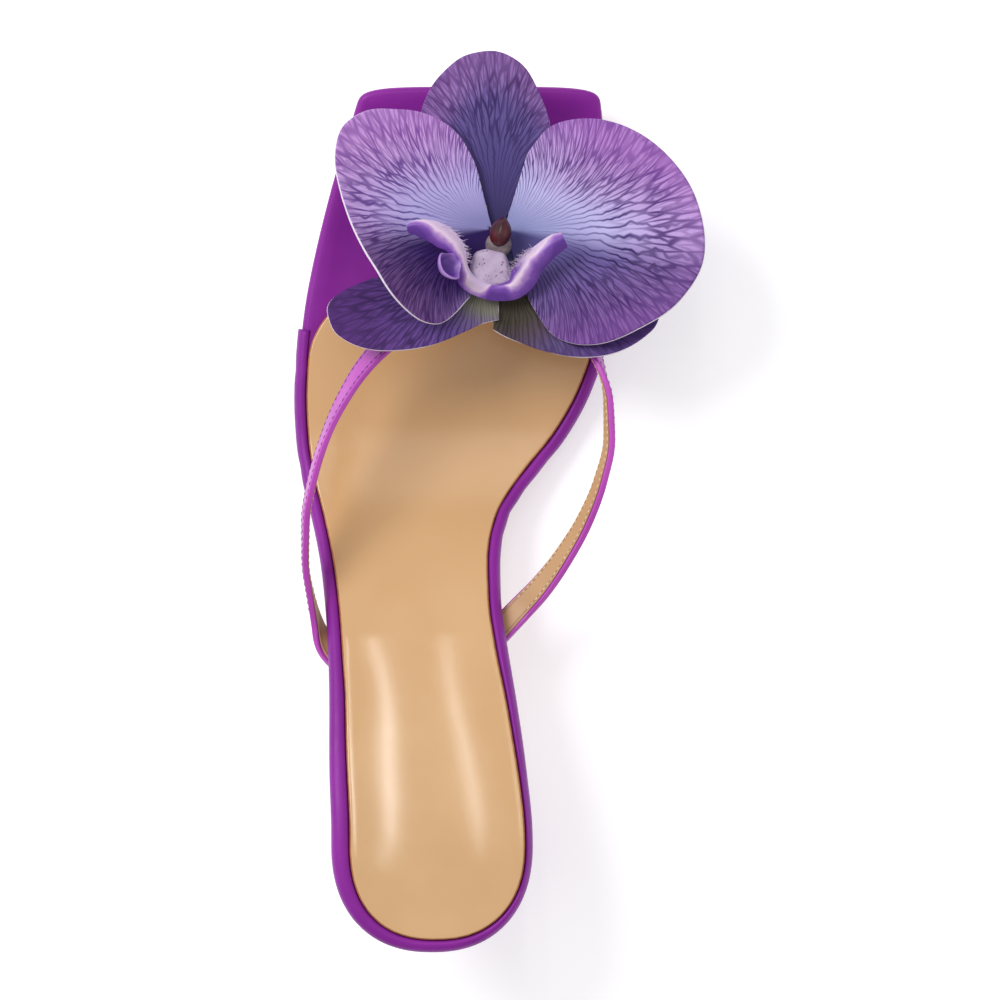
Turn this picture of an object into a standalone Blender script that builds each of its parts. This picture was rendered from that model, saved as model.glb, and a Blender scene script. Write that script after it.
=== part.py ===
"""Left toe-post mule sandal: square-toed sole on a kitten heel, V straps and a cloth orchid on the toe post.

Sizes are in millimetres until a point is placed. Along runs from the heel end to the toe (+Y), across runs
to the inner side of the foot (+X), and height runs up from the floor (+Z).
"""
import math

import bmesh
import bpy
import numpy as np
from mathutils import Matrix, Vector

MM = 0.001
GAP = 0.3
SHARP_ANGLE = 40.0

# Edge of the footbed seen from above: along, outer side of the foot, inner side of the foot.
PLAN = (
    (0.5, -44.8, 7.9),
    (30.0, -44.6, 7.8),
    (50.0, -45.3, 5.9),
    (67.0, -45.5, 3.4),
    (83.0, -46.2, 0.7),
    (94.0, -47.2, -0.8),
    (105.0, -48.7, -1.0),
    (116.0, -51.1, 1.0),
    (127.0, -54.0, 7.7),
    (138.0, -55.8, 16.5),
    (150.0, -56.4, 23.5),
    (163.0, -55.8, 28.2),
    (175.0, -54.5, 31.0),
    (186.0, -52.5, 31.4),
    (208.0, -47.1, 30.4),
    (230.0, -40.3, 28.2),
    (236.4, -38.4, 27.5),
)
# Underside of the footbed: along, height. Level under the ball, rising over the arch to the heel seat.
SOLE_LINE = (
    (0.0, 49.0),
    (30.0, 46.4),
    (52.0, 41.2),
    (82.0, 29.0),
    (110.0, 14.2),
    (128.0, 6.4),
    (142.0, 3.8),
    (182.0, 3.8),
    (210.0, 6.0),
    (236.4, 10.4),
)
# Dish of the footbed top along the heel seat: along, share of DISH.
DISH = 0.8
DISH_SHARE = ((0.0, 0.0), (14.0, 0.6), (32.0, 1.0), (62.0, 1.0), (110.0, 0.4), (150.0, 0.0), (240.0, 0.0))

# Ends of a plan: where it stops along the foot, how far the corners reach back, how square they are.
HEEL_END = {"stop": 0.5, "reach": 28.4, "square": 2.3}
TOE_END = {"stop": 236.4, "reach": 6.5, "square": 5.0}
BREAST_END = {"stop": 51.0, "reach": 3.0, "square": 6.0}
TONGUE_END = {"stop": 189.6, "reach": 30.0, "square": 2.2}
ACROSS_CELLS = 6
ALONG_CELLS = 44
END_CROWDING = 0.6

# Edges of the sole layers, from the lower face to the upper face: inset from the plan, height over SOLE_LINE.
FOOTBED_EDGE = ((2.0, 0.0), (0.7, 0.35), (0.0, 1.5), (0.0, 3.1), (0.6, 4.15), (1.5, 4.55), (2.6, 4.6))
OUTSOLE_EDGE = ((2.4, -3.8), (2.0, -3.3), (2.0, -0.3))
SOCK_EDGE = ((2.7, 5.0), (2.7, 5.8), (3.3, 6.2))
BINDING_WALL = 0.8
BINDING_SEAM = 170.0

# Heel sections from the seat down: height, back, front, half width, squareness of the front.
HEEL_LEVELS = (
    (45.0, 2.2, 50.4, 25.4, 0.55),
    (40.0, 3.6, 46.5, 23.4, 0.55),
    (33.0, 6.6, 39.5, 18.4, 0.60),
    (24.0, 10.0, 33.6, 13.0, 0.65),
    (14.0, 12.2, 30.8, 9.6, 0.70),
    (5.3, 13.0, 29.6, 8.4, 0.75),
)
HEEL_CENTRE = -18.4
SEAT_BLEND = 3.0
HEEL_BACK_SQUARE = 0.15
HEEL_CELLS = 6
TOP_PIECE_HEIGHT = 5.0
TOP_PIECE_CHAMFER = 0.8

# Straps from the sole to the crossing: along, across, height, lean of the outer face away from straight up.
OUTER_STRAP = (
    (74.0, -37.0, 30.9, 158.0),
    (76.5, -42.0, 29.8, 160.0),
    (80.5, -46.6, 27.9, 150.0),
    (86.0, -49.8, 27.2, 110.0),
    (94.3, -51.9, 29.6, 92.0),
    (105.2, -53.4, 33.4, 86.0),
    (116.1, -53.2, 36.4, 82.0),
    (127.1, -51.2, 38.4, 79.0),
    (138.0, -47.9, 39.2, 77.0),
    (148.9, -43.0, 38.2, 68.0),
    (159.8, -35.8, 36.2, 54.0),
    (170.8, -24.0, 33.8, 34.0),
    (179.0, -13.9, 32.3, 16.0),
    (186.0, -5.8, 31.5, 4.0),
    (190.8, -0.8, 31.2, 0.0),
    (194.6, 3.2, 30.7, 0.0),
)
INNER_STRAP = (
    (75.4, -9.6, 30.3, 162.0),
    (80.6, -4.8, 27.9, 162.0),
    (86.4, 0.6, 25.1, 160.0),
    (91.6, 5.6, 24.0, 154.0),
    (97.2, 10.9, 26.0, 144.0),
    (105.2, 16.9, 30.2, 130.0),
    (116.1, 23.3, 34.8, 117.0),
    (127.1, 27.6, 37.8, 108.0),
    (138.0, 29.9, 39.3, 102.0),
    (148.9, 29.6, 38.8, 97.0),
    (157.0, 27.7, 37.4, 84.0),
    (164.0, 24.6, 35.8, 62.0),
    (173.0, 17.2, 33.8, 36.0),
    (182.0, 8.6, 32.2, 12.0),
    (190.8, -0.8, 31.6, 0.0),
    (194.6, -4.8, 31.1, 0.0),
)
STRAP_WIDTH = 7.5
STRAP_WALL = 1.8
STRAP_END_SHARE = 0.65
STRAP_CELLS = 38
STRAP_COLUMNS = 2
STRAP_STEP = 0.002
SLOT_REACH = 0.16
SLOT_DEPTH = 5.0
POST_RADIUS = 2.4
POST_CELLS = 16
POST_HOLE_TOP = 20.0

# The orchid stands on the toe post and leans towards the toe.
FLOWER_ALONG = 190.8
FLOWER_ACROSS = -0.8
FLOWER_SEAT = 35.2
FLOWER_LEAN = 0.13
FLOWER_BOWL = 0.0025
BASE_RADIUS = 10.0
BASE_WALL = 2.0
BASE_CELLS = 28
PEG_RADIUS = 2.2
PEG_BACK = 0.6
PEG_RISE = 5.4
LOBE_WALL = 0.8
RAY_CELLS = 14
RADIUS_CELLS = 7
ROOT_SHARE = 0.1
CURL_POWER = 3.2
LOBE_WAVES = 2.0
SEPAL_COLOUR = (0.12, 0.08, 0.28)
PETAL_COLOUR = (0.32, 0.24, 0.5)

# Lobes: base across and along from the flower, lift over the seat, wave of the rim, rays of angle and radius.
LOBES = {
    "sepal_right": {
        "base": (0.5, -4.6),
        "lift": 0.7,
        "wave": -2.0,
        "rays": ((265, 18.2), (276, 20.4), (285, 22.5), (298, 27.4), (308, 32.6), (317, 37.5), (324, 41.0),
                 (332, 44.2), (339, 46.2), (345, 45.4), (350, 40.0), (353, 32.0)),
    },
    "sepal_top": {
        "base": (0.0, 8.1),
        "lift": 0.7,
        "wave": -2.5,
        "rays": ((44, 15.0), (52, 22.5), (60, 29.0), (71, 35.8), (82, 43.0), (92, 45.5), (100, 45.2),
                 (110, 42.5), (120, 38.6), (128, 34.0), (136, 26.0), (143, 16.0)),
    },
    "sepal_left": {
        "base": (0.0, -4.6),
        "lift": 1.9,
        "wave": -2.0,
        "rays": ((187, 32.0), (190, 42.0), (195, 48.0), (202, 48.3), (208, 46.0), (214, 42.3), (222, 35.8),
                 (232, 28.5), (244, 21.0), (258, 16.7), (272, 15.5)),
    },
    "petal_right": {
        "base": (1.9, 4.6),
        "lift": 1.9,
        "wave": 2.4,
        "rays": ((-71, 18.0), (-67, 30.0), (-60, 36.0), (-50, 41.0), (-37, 45.6), (-22, 51.8), (-8, 54.9),
                 (8, 53.0), (25, 48.5), (45, 41.4), (60, 34.4), (67, 30.0), (73, 21.0)),
    },
    "petal_left": {
        "base": (-1.4, 4.6),
        "lift": 3.1,
        "wave": 1.6,
        "rays": ((104, 17.0), (108, 25.8), (115, 32.7), (122, 37.9), (129, 42.0), (137, 47.0), (146, 49.2),
                 (154, 47.4), (166, 42.4), (176, 38.8), (190, 35.1), (203, 33.0), (219, 32.4), (231, 31.9),
                 (241, 29.9), (252, 19.0)),
        "curl": 13.0,
        "curl_ray": 202.0,
        "curl_spread": 34.0,
    },
}

# Lip from arm tip to arm tip, from the flower: across, along, rise over the seat, half width, edge drop.
LIP = (
    (-23.6, 4.6, 14.4, 1.6, 0.6),
    (-20.0, 2.9, 14.4, 3.6, 1.8),
    (-15.2, -1.2, 14.0, 4.9, 2.4),
    (-9.9, -8.8, 12.2, 3.0, 1.6),
    (-3.6, -13.4, 9.6, 1.9, 0.9),
    (3.8, -13.4, 9.6, 1.9, 0.9),
    (9.2, -8.2, 11.4, 3.0, 1.6),
    (13.6, -2.4, 12.8, 4.6, 2.4),
    (18.6, 2.6, 13.2, 1.6, 0.6),
)
LIP_WALL = 1.0
LIP_CELLS = 28
LIP_COLUMNS = 4
LIP_STEP = 0.2
PLATE_SIZE = (7.6, 9.4, 4.4)
PLATE_OFFSET = (-1.0, -6.1)
PLATE_BEVEL = 1.6
COLUMN_SIZE = (6.4, 8.4, 6.4)
COLUMN_OFFSET = (0.6, 3.2)
COLUMN_SIDES = 14
COLUMN_BANDS = 8


def material(name, colour, roughness):
    made = bpy.data.materials.new(name)
    made.use_nodes = True
    shader = made.node_tree.nodes["Principled BSDF"]
    shader.inputs["Base Color"].default_value = (*colour, 1.0)
    shader.inputs["Roughness"].default_value = roughness
    return made


def table_slope(known, values, row):
    """Slope of a table at one of its rows, flat at a peak, so the curve never overshoots its rows."""
    last = len(known) - 1
    before = (values[row] - values[row - 1]) / (known[row] - known[row - 1]) if row > 0 else None
    after = (values[row + 1] - values[row]) / (known[row + 1] - known[row]) if row < last else None
    if before is None:
        return after
    if after is None:
        return before
    if before * after <= 0.0:
        return 0.0
    return 2.0 * before * after / (before + after)


def table_value(known, values, at):
    """Value of a smooth curve through the rows of a table."""
    at = min(max(at, known[0]), known[-1])
    row = min(int(np.searchsorted(known, at, side="right")) - 1, len(known) - 2)
    span = known[row + 1] - known[row]
    part = (at - known[row]) / span
    rest = 1.0 - part
    start = values[row] * (1.0 + 2.0 * part) * rest * rest
    start += table_slope(known, values, row) * span * part * rest * rest
    end = values[row + 1] * (3.0 - 2.0 * part) * part * part
    end -= table_slope(known, values, row + 1) * span * part * part * rest
    return start + end


def column(table, index):
    return [row[index] for row in table]


def sole_line(along):
    return table_value(column(SOLE_LINE, 0), column(SOLE_LINE, 1), along)


def plan_sides(along):
    known = column(PLAN, 0)
    return table_value(known, column(PLAN, 1), along), table_value(known, column(PLAN, 2), along)


def dish(along, across):
    """How far the footbed top sinks below its rim."""
    outer, inner = plan_sides(along)
    half = (inner - outer) / 2.0 - FOOTBED_EDGE[-1][0]
    off_centre = (across - (inner + outer) / 2.0) / half
    share = table_value(column(DISH_SHARE, 0), column(DISH_SHARE, 1), along)
    return DISH * share * max(0.0, 1.0 - off_centre * off_centre)


def end_depth(end, share):
    """Distance back from an end at which the plan is this share of its full width."""
    power = end["square"]
    return end["reach"] * (1.0 - (1.0 - abs(share) ** power) ** (1.0 / power))


def end_share(end, depth):
    """Share of the full width at a distance back from an end."""
    if depth >= end["reach"]:
        return 1.0
    power = end["square"]
    return (1.0 - (1.0 - max(depth, 0.0) / end["reach"]) ** power) ** (1.0 / power)


def plan_point(along, share):
    outer, inner = plan_sides(along)
    return np.array(((inner + outer) / 2.0 + share * (inner - outer) / 2.0, along))


def side_point(back, front, part, side):
    """Point on the outer (-1) or inner (1) side of a plan, from the back corner to the front corner."""
    crowded = part - END_CROWDING * math.sin(2.0 * math.pi * part) / (2.0 * math.pi)
    first = back["stop"] + end_depth(back, 0.5 ** (1.0 / back["square"]))
    last = front["stop"] - end_depth(front, 0.5 ** (1.0 / front["square"]))
    along = first + (last - first) * crowded
    share = end_share(back, along - back["stop"]) * end_share(front, front["stop"] - along)
    return plan_point(along, side * share)


def end_point(end, direction, part):
    """Point on the back (1) or front (-1) end of a plan, from the outer to the inner side."""
    share = (2.0 * part - 1.0) * 0.5 ** (1.0 / end["square"])
    return plan_point(end["stop"] + direction * end_depth(end, share), share)


def plan_ring(back, front, inset):
    """Closed outline from the outer back corner round the back, inner side, front and outer side."""
    ends = [index / ACROSS_CELLS for index in range(ACROSS_CELLS)]
    sides = [index / ALONG_CELLS for index in range(ALONG_CELLS)]
    ring = [end_point(back, 1.0, part) for part in ends]
    ring += [side_point(back, front, part, 1.0) for part in sides]
    ring += [end_point(front, -1.0, 1.0 - part) for part in ends]
    ring += [side_point(back, front, 1.0 - part, -1.0) for part in sides]
    ring = np.array(ring)
    tangent = np.roll(ring, -1, axis=0) - np.roll(ring, 1, axis=0)
    tangent /= np.linalg.norm(tangent, axis=1)[:, None]
    inward = np.stack((-tangent[:, 1], tangent[:, 0]), axis=1)
    return ring + inset * inward


def plan_grid(back, front, inset):
    """Patch filling an outline, rows along the foot and columns across it."""
    ring = plan_ring(back, front, inset)
    first = ACROSS_CELLS
    second = first + ALONG_CELLS
    third = second + ACROSS_CELLS
    heel = ring[: first + 1]
    inner = ring[first : second + 1]
    toe = ring[second : third + 1][::-1]
    outer = np.concatenate((ring[third:], ring[:1]))[::-1]
    across = np.linspace(0.0, 1.0, ACROSS_CELLS + 1)[None, :, None]
    along = np.linspace(0.0, 1.0, ALONG_CELLS + 1)[:, None, None]
    sides = (1.0 - across) * outer[:, None, :] + across * inner[:, None, :]
    ends = (1.0 - along) * heel[None, :, :] + along * toe[None, :, :]
    corners = (1.0 - across) * ((1.0 - along) * heel[0] + along * toe[0])
    corners = corners + across * ((1.0 - along) * heel[-1] + along * toe[-1])
    return sides + ends - corners


def sole_layer(back, front, inset, height, dished):
    """Placing rule for one level of a sole layer: grid cell in, point out."""
    grid = plan_grid(back, front, inset)

    def place(u, v):
        i = round((u + 1.0) / 2.0 * ACROSS_CELLS)
        j = round((v + 1.0) / 2.0 * ALONG_CELLS)
        across, along = grid[j, i]
        sunk = dish(along, across) if dished else 0.0
        return Vector((across, along, sole_line(along) + height - sunk))

    return place


def add_object(name, mesh, collection, paint):
    data = bpy.data.meshes.new(name)
    mesh.to_mesh(data)
    mesh.free()
    data.shade_smooth()
    data.set_sharp_from_angle(angle=math.radians(SHARP_ANGLE))
    made = bpy.data.objects.new(name, data)
    if paint is not None:
        data.materials.append(paint)
    collection.objects.link(made)
    return made


def stack(name, levels, across_cells, along_cells, collection, paint):
    """Closed body: a grid on the lowest level, rings drawn up round its edge, a grid on the highest level."""
    mesh = bmesh.new()
    cell = mesh.verts.layers.float_vector.new("cell")
    bmesh.ops.create_grid(mesh, x_segments=across_cells, y_segments=along_cells, size=1.0)
    for vert in mesh.verts:
        vert[cell] = vert.co
    under = list(mesh.verts)
    rim = [edge for edge in mesh.edges if edge.is_boundary]
    copied = bmesh.ops.duplicate(mesh, geom=list(mesh.verts) + list(mesh.edges) + list(mesh.faces))
    lid = [item for item in copied["geom"] if isinstance(item, bmesh.types.BMVert)]
    set_level(under, cell, levels[0])
    set_level(lid, cell, levels[-1])
    for level in levels[1:]:
        drawn = bmesh.ops.extrude_edge_only(mesh, edges=rim)["geom"]
        fresh = {item for item in drawn if isinstance(item, bmesh.types.BMVert)}
        set_level(fresh, cell, level)
        rim = [item for item in drawn if isinstance(item, bmesh.types.BMEdge) and set(item.verts) <= fresh]
    bmesh.ops.remove_doubles(mesh, verts=list(mesh.verts), dist=1e-7)
    bmesh.ops.recalc_face_normals(mesh, faces=list(mesh.faces))
    mesh.verts.layers.float_vector.remove(cell)
    return add_object(name, mesh, collection, paint)


def set_level(verts, cell, place):
    for vert in verts:
        vert.co = place(vert[cell].x, vert[cell].y) * MM


def sole_piece(name, back, front, edge, dished_from, collection, paint):
    levels = [sole_layer(back, front, inset, height, height >= dished_from) for inset, height in edge]
    return stack(name, levels, ACROSS_CELLS, ALONG_CELLS, collection, paint)


def edge_normals(edge):
    """Outward normals of an edge profile in its own plane: inset, height."""
    points = np.array(edge)
    tangent = np.gradient(points, axis=0)
    tangent /= np.linalg.norm(tangent, axis=1)[:, None]
    return np.stack((-tangent[:, 1], tangent[:, 0]), axis=1)


def make_binding(collection, paint):
    """Wrap over the footbed edge, from the outer seam round the heel to the inner seam."""
    away = GAP + BINDING_WALL
    outside = (np.array(FOOTBED_EDGE) + away * edge_normals(FOOTBED_EDGE))[1:-1].tolist()
    outside.append([FOOTBED_EDGE[-1][0] - GAP, FOOTBED_EDGE[-1][1] + away])
    rings = [plan_ring(HEEL_END, TOE_END, inset) for inset, height in outside]
    behind_seam = [along <= BINDING_SEAM for across, along in plan_ring(HEEL_END, TOE_END, 0.0)]
    outer_side = range(2 * ACROSS_CELLS + ALONG_CELLS, len(behind_seam))
    heel_and_inner_side = range(ACROSS_CELLS + ALONG_CELLS)
    path = [index for index in (*outer_side, *heel_and_inner_side) if behind_seam[index]]
    mesh = bmesh.new()
    bmesh.ops.create_grid(mesh, x_segments=len(path) - 1, y_segments=len(outside) - 1, size=1.0)
    for vert in mesh.verts:
        i = round((vert.co.x + 1.0) / 2.0 * (len(path) - 1))
        j = round((vert.co.y + 1.0) / 2.0 * (len(outside) - 1))
        across, along = rings[j][path[i]]
        vert.co = Vector((across, along, sole_line(along) + outside[j][1])) * MM
    made = add_object("edge_binding", mesh, collection, paint)
    add_wall(made, BINDING_WALL, -1.0)


def add_wall(made, wall, offset):
    solidify = made.modifiers.new("wall", "SOLIDIFY")
    solidify.thickness = wall * MM
    solidify.offset = offset
    return solidify


def add_boolean(made, operation, other):
    boolean = made.modifiers.new(operation.lower(), "BOOLEAN")
    boolean.operation = operation
    boolean.solver = "EXACT"
    boolean.object = other


def heel_section(height, back, front, half_width, square, blend):
    """Placing rule for one heel section: round back, flatter front, drawn up to the seat by its blend."""

    def place(u, v):
        round_u = u * math.sqrt(1.0 - v * v / 2.0)
        round_v = v * math.sqrt(1.0 - u * u / 2.0)
        part = square if v > 0.0 else square * HEEL_BACK_SQUARE
        across = HEEL_CENTRE + half_width * (round_u + part * (u - round_u))
        along = (back + front) / 2.0 + (front - back) / 2.0 * (round_v + part * (v - round_v))
        seat = sole_line(along) - GAP
        return Vector((across, along, height + blend * (seat - height)))

    return place


def make_heel(collection, cover, rubber):
    top = HEEL_LEVELS[0][0]
    bottom = HEEL_LEVELS[-1][0]
    levels = []
    for height, back, front, half_width, square in reversed(HEEL_LEVELS):
        blend = ((height - bottom) / (top - bottom)) ** SEAT_BLEND
        levels.append(heel_section(height, back, front, half_width, square, blend))
    stack("heel", levels, HEEL_CELLS, HEEL_CELLS, collection, cover)
    back, front, half_width, square = HEEL_LEVELS[-1][1:]
    trim = TOP_PIECE_CHAMFER
    foot = heel_section(0.0, back + trim, front - trim, half_width - trim, square, 0.0)
    side = heel_section(trim, back, front, half_width, square, 0.0)
    seat = heel_section(TOP_PIECE_HEIGHT, back, front, half_width, square, 0.0)
    stack("heel_top_piece", [foot, side, seat], HEEL_CELLS, HEEL_CELLS, collection, rubber)


def strap_frame(rows, part):
    """Centre, direction and outer normal of a strap at a part of its length."""
    centres = np.array([row[:3] for row in rows])
    run = np.concatenate(([0.0], np.cumsum(np.linalg.norm(np.diff(centres, axis=0), axis=1))))

    def centre(share):
        at = share * run[-1]
        along, across, height = (table_value(run, column(rows, index), at) for index in range(3))
        return Vector((across, along, height))

    forward = (centre(min(part + STRAP_STEP, 1.0)) - centre(max(part - STRAP_STEP, 0.0))).normalized()
    lean = math.radians(table_value(run, column(rows, 3), part * run[-1]))
    up = (Vector((0.0, 0.0, 1.0)) - forward * forward.z).normalized()
    out = forward.cross(up)
    if rows is OUTER_STRAP:
        out = -out
    return centre(part), forward, up * math.cos(lean) + out * math.sin(lean)


def make_band(name, rows, last, width, overrun, lift, collection, paint):
    """Open strip along a strap from its sole end to a part of its length, lifted towards its outer face."""
    mesh = bmesh.new()
    bmesh.ops.create_grid(mesh, x_segments=STRAP_COLUMNS, y_segments=STRAP_CELLS, size=1.0)
    for vert in mesh.verts:
        part = (vert.co.y + 1.0) / 2.0 * last
        middle, forward, normal = strap_frame(rows, part)
        if part == 0.0:
            middle = middle - forward * overrun
        vert.co = (middle + forward.cross(normal) * (vert.co.x * width / 2.0) + normal * lift) * MM
    return add_object(name, mesh, collection, paint)


def make_strap(name, rows, collection, paint):
    made = make_band(name, rows, 1.0, STRAP_WIDTH, 0.0, 0.0, collection, paint)
    wall = add_wall(made, STRAP_WALL, 0.0)
    group = made.vertex_groups.new(name="wall")
    for vert in made.data.vertices:
        station = vert.index // (STRAP_COLUMNS + 1)
        grown = min(1.0, station / (STRAP_CELLS * SLOT_REACH))
        group.add([vert.index], STRAP_END_SHARE + (1.0 - STRAP_END_SHARE) * grown, "REPLACE")
    wall.vertex_group = group.name
    return made


def make_slot(name, rows, collection):
    """Cutter for a notch in the outsole round the end of a strap, open towards the footbed."""
    floor = STRAP_WALL / 2.0 + GAP
    made = make_band(name, rows, SLOT_REACH, STRAP_WIDTH + 2.0 * GAP, GAP, floor, collection, None)
    add_wall(made, SLOT_DEPTH, -1.0)
    return made


def make_cylinder(name, radius, low, high, across, along, cells, collection, paint):
    mesh = bmesh.new()
    place = Matrix.Translation(Vector((across, along, (low + high) / 2.0)) * MM)
    bmesh.ops.create_cone(mesh, cap_ends=True, segments=cells, radius1=radius * MM, radius2=radius * MM,
                          depth=(high - low) * MM, matrix=place)
    return add_object(name, mesh, collection, paint)


def make_upper(parts, cutters, leather):
    upper = make_strap("upper", OUTER_STRAP, parts, leather)
    add_boolean(upper, "UNION", make_strap("inner_strap_stock", INNER_STRAP, cutters, leather))
    foot = sole_line(FLOWER_ALONG) + GAP
    crossing = OUTER_STRAP[-2][2]
    post = make_cylinder("post_stock", POST_RADIUS, foot, crossing, FLOWER_ACROSS, FLOWER_ALONG, POST_CELLS,
                         cutters, leather)
    add_boolean(upper, "UNION", post)


def flower_height(across, along):
    """Height of the bowl that the lobes follow, for a point measured from the flower."""
    return FLOWER_SEAT - FLOWER_LEAN * along + FLOWER_BOWL * (across * across + along * along)


def flower_point(across, along, height):
    return Vector((FLOWER_ACROSS + across, FLOWER_ALONG + along, height)) * MM


def make_lobe(name, collection, paint):
    """One lobe: a fan of rays from its base, with a wall of its own."""
    shape = LOBES[name]
    angles = column(shape["rays"], 0)
    radii = column(shape["rays"], 1)
    mesh = bmesh.new()
    bmesh.ops.create_grid(mesh, x_segments=RAY_CELLS, y_segments=RADIUS_CELLS, size=1.0)
    for vert in mesh.verts:
        angle = angles[0] + (angles[-1] - angles[0]) * (vert.co.x + 1.0) / 2.0
        share = ROOT_SHARE + (1.0 - ROOT_SHARE) * (vert.co.y + 1.0) / 2.0
        radius = table_value(angles, radii, angle) * share
        across = shape["base"][0] + radius * math.cos(math.radians(angle))
        along = shape["base"][1] + radius * math.sin(math.radians(angle))
        height = flower_height(across, along) + shape["lift"]
        turn = (vert.co.x + 1.0) * math.pi * LOBE_WAVES
        height += shape["wave"] * share * share * (1.0 - math.cos(turn)) / 2.0
        if "curl" in shape:
            off = (angle - shape["curl_ray"]) / shape["curl_spread"]
            height += shape["curl"] * share ** CURL_POWER * math.exp(-off * off)
        vert.co = flower_point(across, along, height)
    made = add_object(name, mesh, collection, paint)
    add_wall(made, LOBE_WALL, 0.0)


def make_flower_base(parts, cutters, paint):
    """Leaning disc under the lobes with a peg up to the plate and the column."""
    base = make_cylinder("flower_base", BASE_RADIUS, -BASE_WALL, 0.0, 0.0, 0.0, BASE_CELLS, parts, paint)
    lean = Matrix.Rotation(-math.atan(FLOWER_LEAN), 4, "X")
    base.data.transform(Matrix.Translation(flower_point(0.0, 0.0, FLOWER_SEAT)) @ lean)
    low = FLOWER_SEAT - BASE_WALL / 2.0
    high = FLOWER_SEAT + PEG_RISE
    along = FLOWER_ALONG - PEG_BACK
    peg = make_cylinder("peg_stock", PEG_RADIUS, low, high, FLOWER_ACROSS, along, POST_CELLS, cutters, paint)
    add_boolean(base, "UNION", peg)


def make_lip(collection, paint):
    """Arched ribbon from arm tip to arm tip."""
    rows = np.array(LIP)
    run = np.concatenate(([0.0], np.cumsum(np.linalg.norm(np.diff(rows[:, :2], axis=0), axis=1))))
    mesh = bmesh.new()
    bmesh.ops.create_grid(mesh, x_segments=LIP_COLUMNS, y_segments=LIP_CELLS, size=1.0)
    for vert in mesh.verts:
        at = (vert.co.y + 1.0) / 2.0 * run[-1]
        here = [table_value(run, rows[:, index], at) for index in range(5)]
        ahead = [table_value(run, rows[:, index], at + LIP_STEP) for index in range(2)]
        behind = [table_value(run, rows[:, index], at - LIP_STEP) for index in range(2)]
        forward = Vector((ahead[0] - behind[0], ahead[1] - behind[1])).normalized()
        off = vert.co.x * here[3]
        across = here[0] + forward.y * off
        along = here[1] - forward.x * off
        rise = here[2] - here[4] * vert.co.x * vert.co.x
        vert.co = flower_point(across, along, FLOWER_SEAT + rise)
    made = add_object("lip", mesh, collection, paint)
    add_wall(made, LIP_WALL, 0.0)


def make_plate_and_column(collection, plate_paint, column_paint):
    mesh = bmesh.new()
    low = FLOWER_SEAT + PEG_RISE + GAP
    place = Matrix.Translation(flower_point(*PLATE_OFFSET, low + PLATE_SIZE[2] / 2.0))
    size = Matrix.Diagonal((*[value * MM for value in PLATE_SIZE], 1.0))
    bmesh.ops.create_cube(mesh, size=1.0, matrix=place @ size)
    plate = add_object("lip_plate", mesh, collection, plate_paint)
    rounding = plate.modifiers.new("rounding", "BEVEL")
    rounding.width = PLATE_BEVEL * MM
    rounding.segments = 2
    mesh = bmesh.new()
    size = Matrix.Diagonal((*[value / 2.0 * MM for value in COLUMN_SIZE], 1.0))
    place = Matrix.Translation(flower_point(*COLUMN_OFFSET, low + COLUMN_SIZE[2] / 2.0))
    bmesh.ops.create_uvsphere(mesh, u_segments=COLUMN_SIDES, v_segments=COLUMN_BANDS, radius=1.0,
                              matrix=place @ size)
    add_object("column", mesh, collection, column_paint)


def centre_on_floor(parts, cutters):
    """Shift every mesh so that the middle of the box of the parts stands over the origin."""
    graph = bpy.context.evaluated_depsgraph_get()
    corners = []
    for made in parts.objects:
        shown = made.evaluated_get(graph)
        mesh = shown.to_mesh()
        corners += [tuple(vert.co) for vert in mesh.vertices]
        shown.to_mesh_clear()
    low = np.min(np.array(corners), axis=0)
    high = np.max(np.array(corners), axis=0)
    shift = Matrix.Translation((-(low[0] + high[0]) / 2.0, -(low[1] + high[1]) / 2.0, -low[2]))
    for made in list(parts.objects) + list(cutters.objects):
        made.data.transform(shift)


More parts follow.
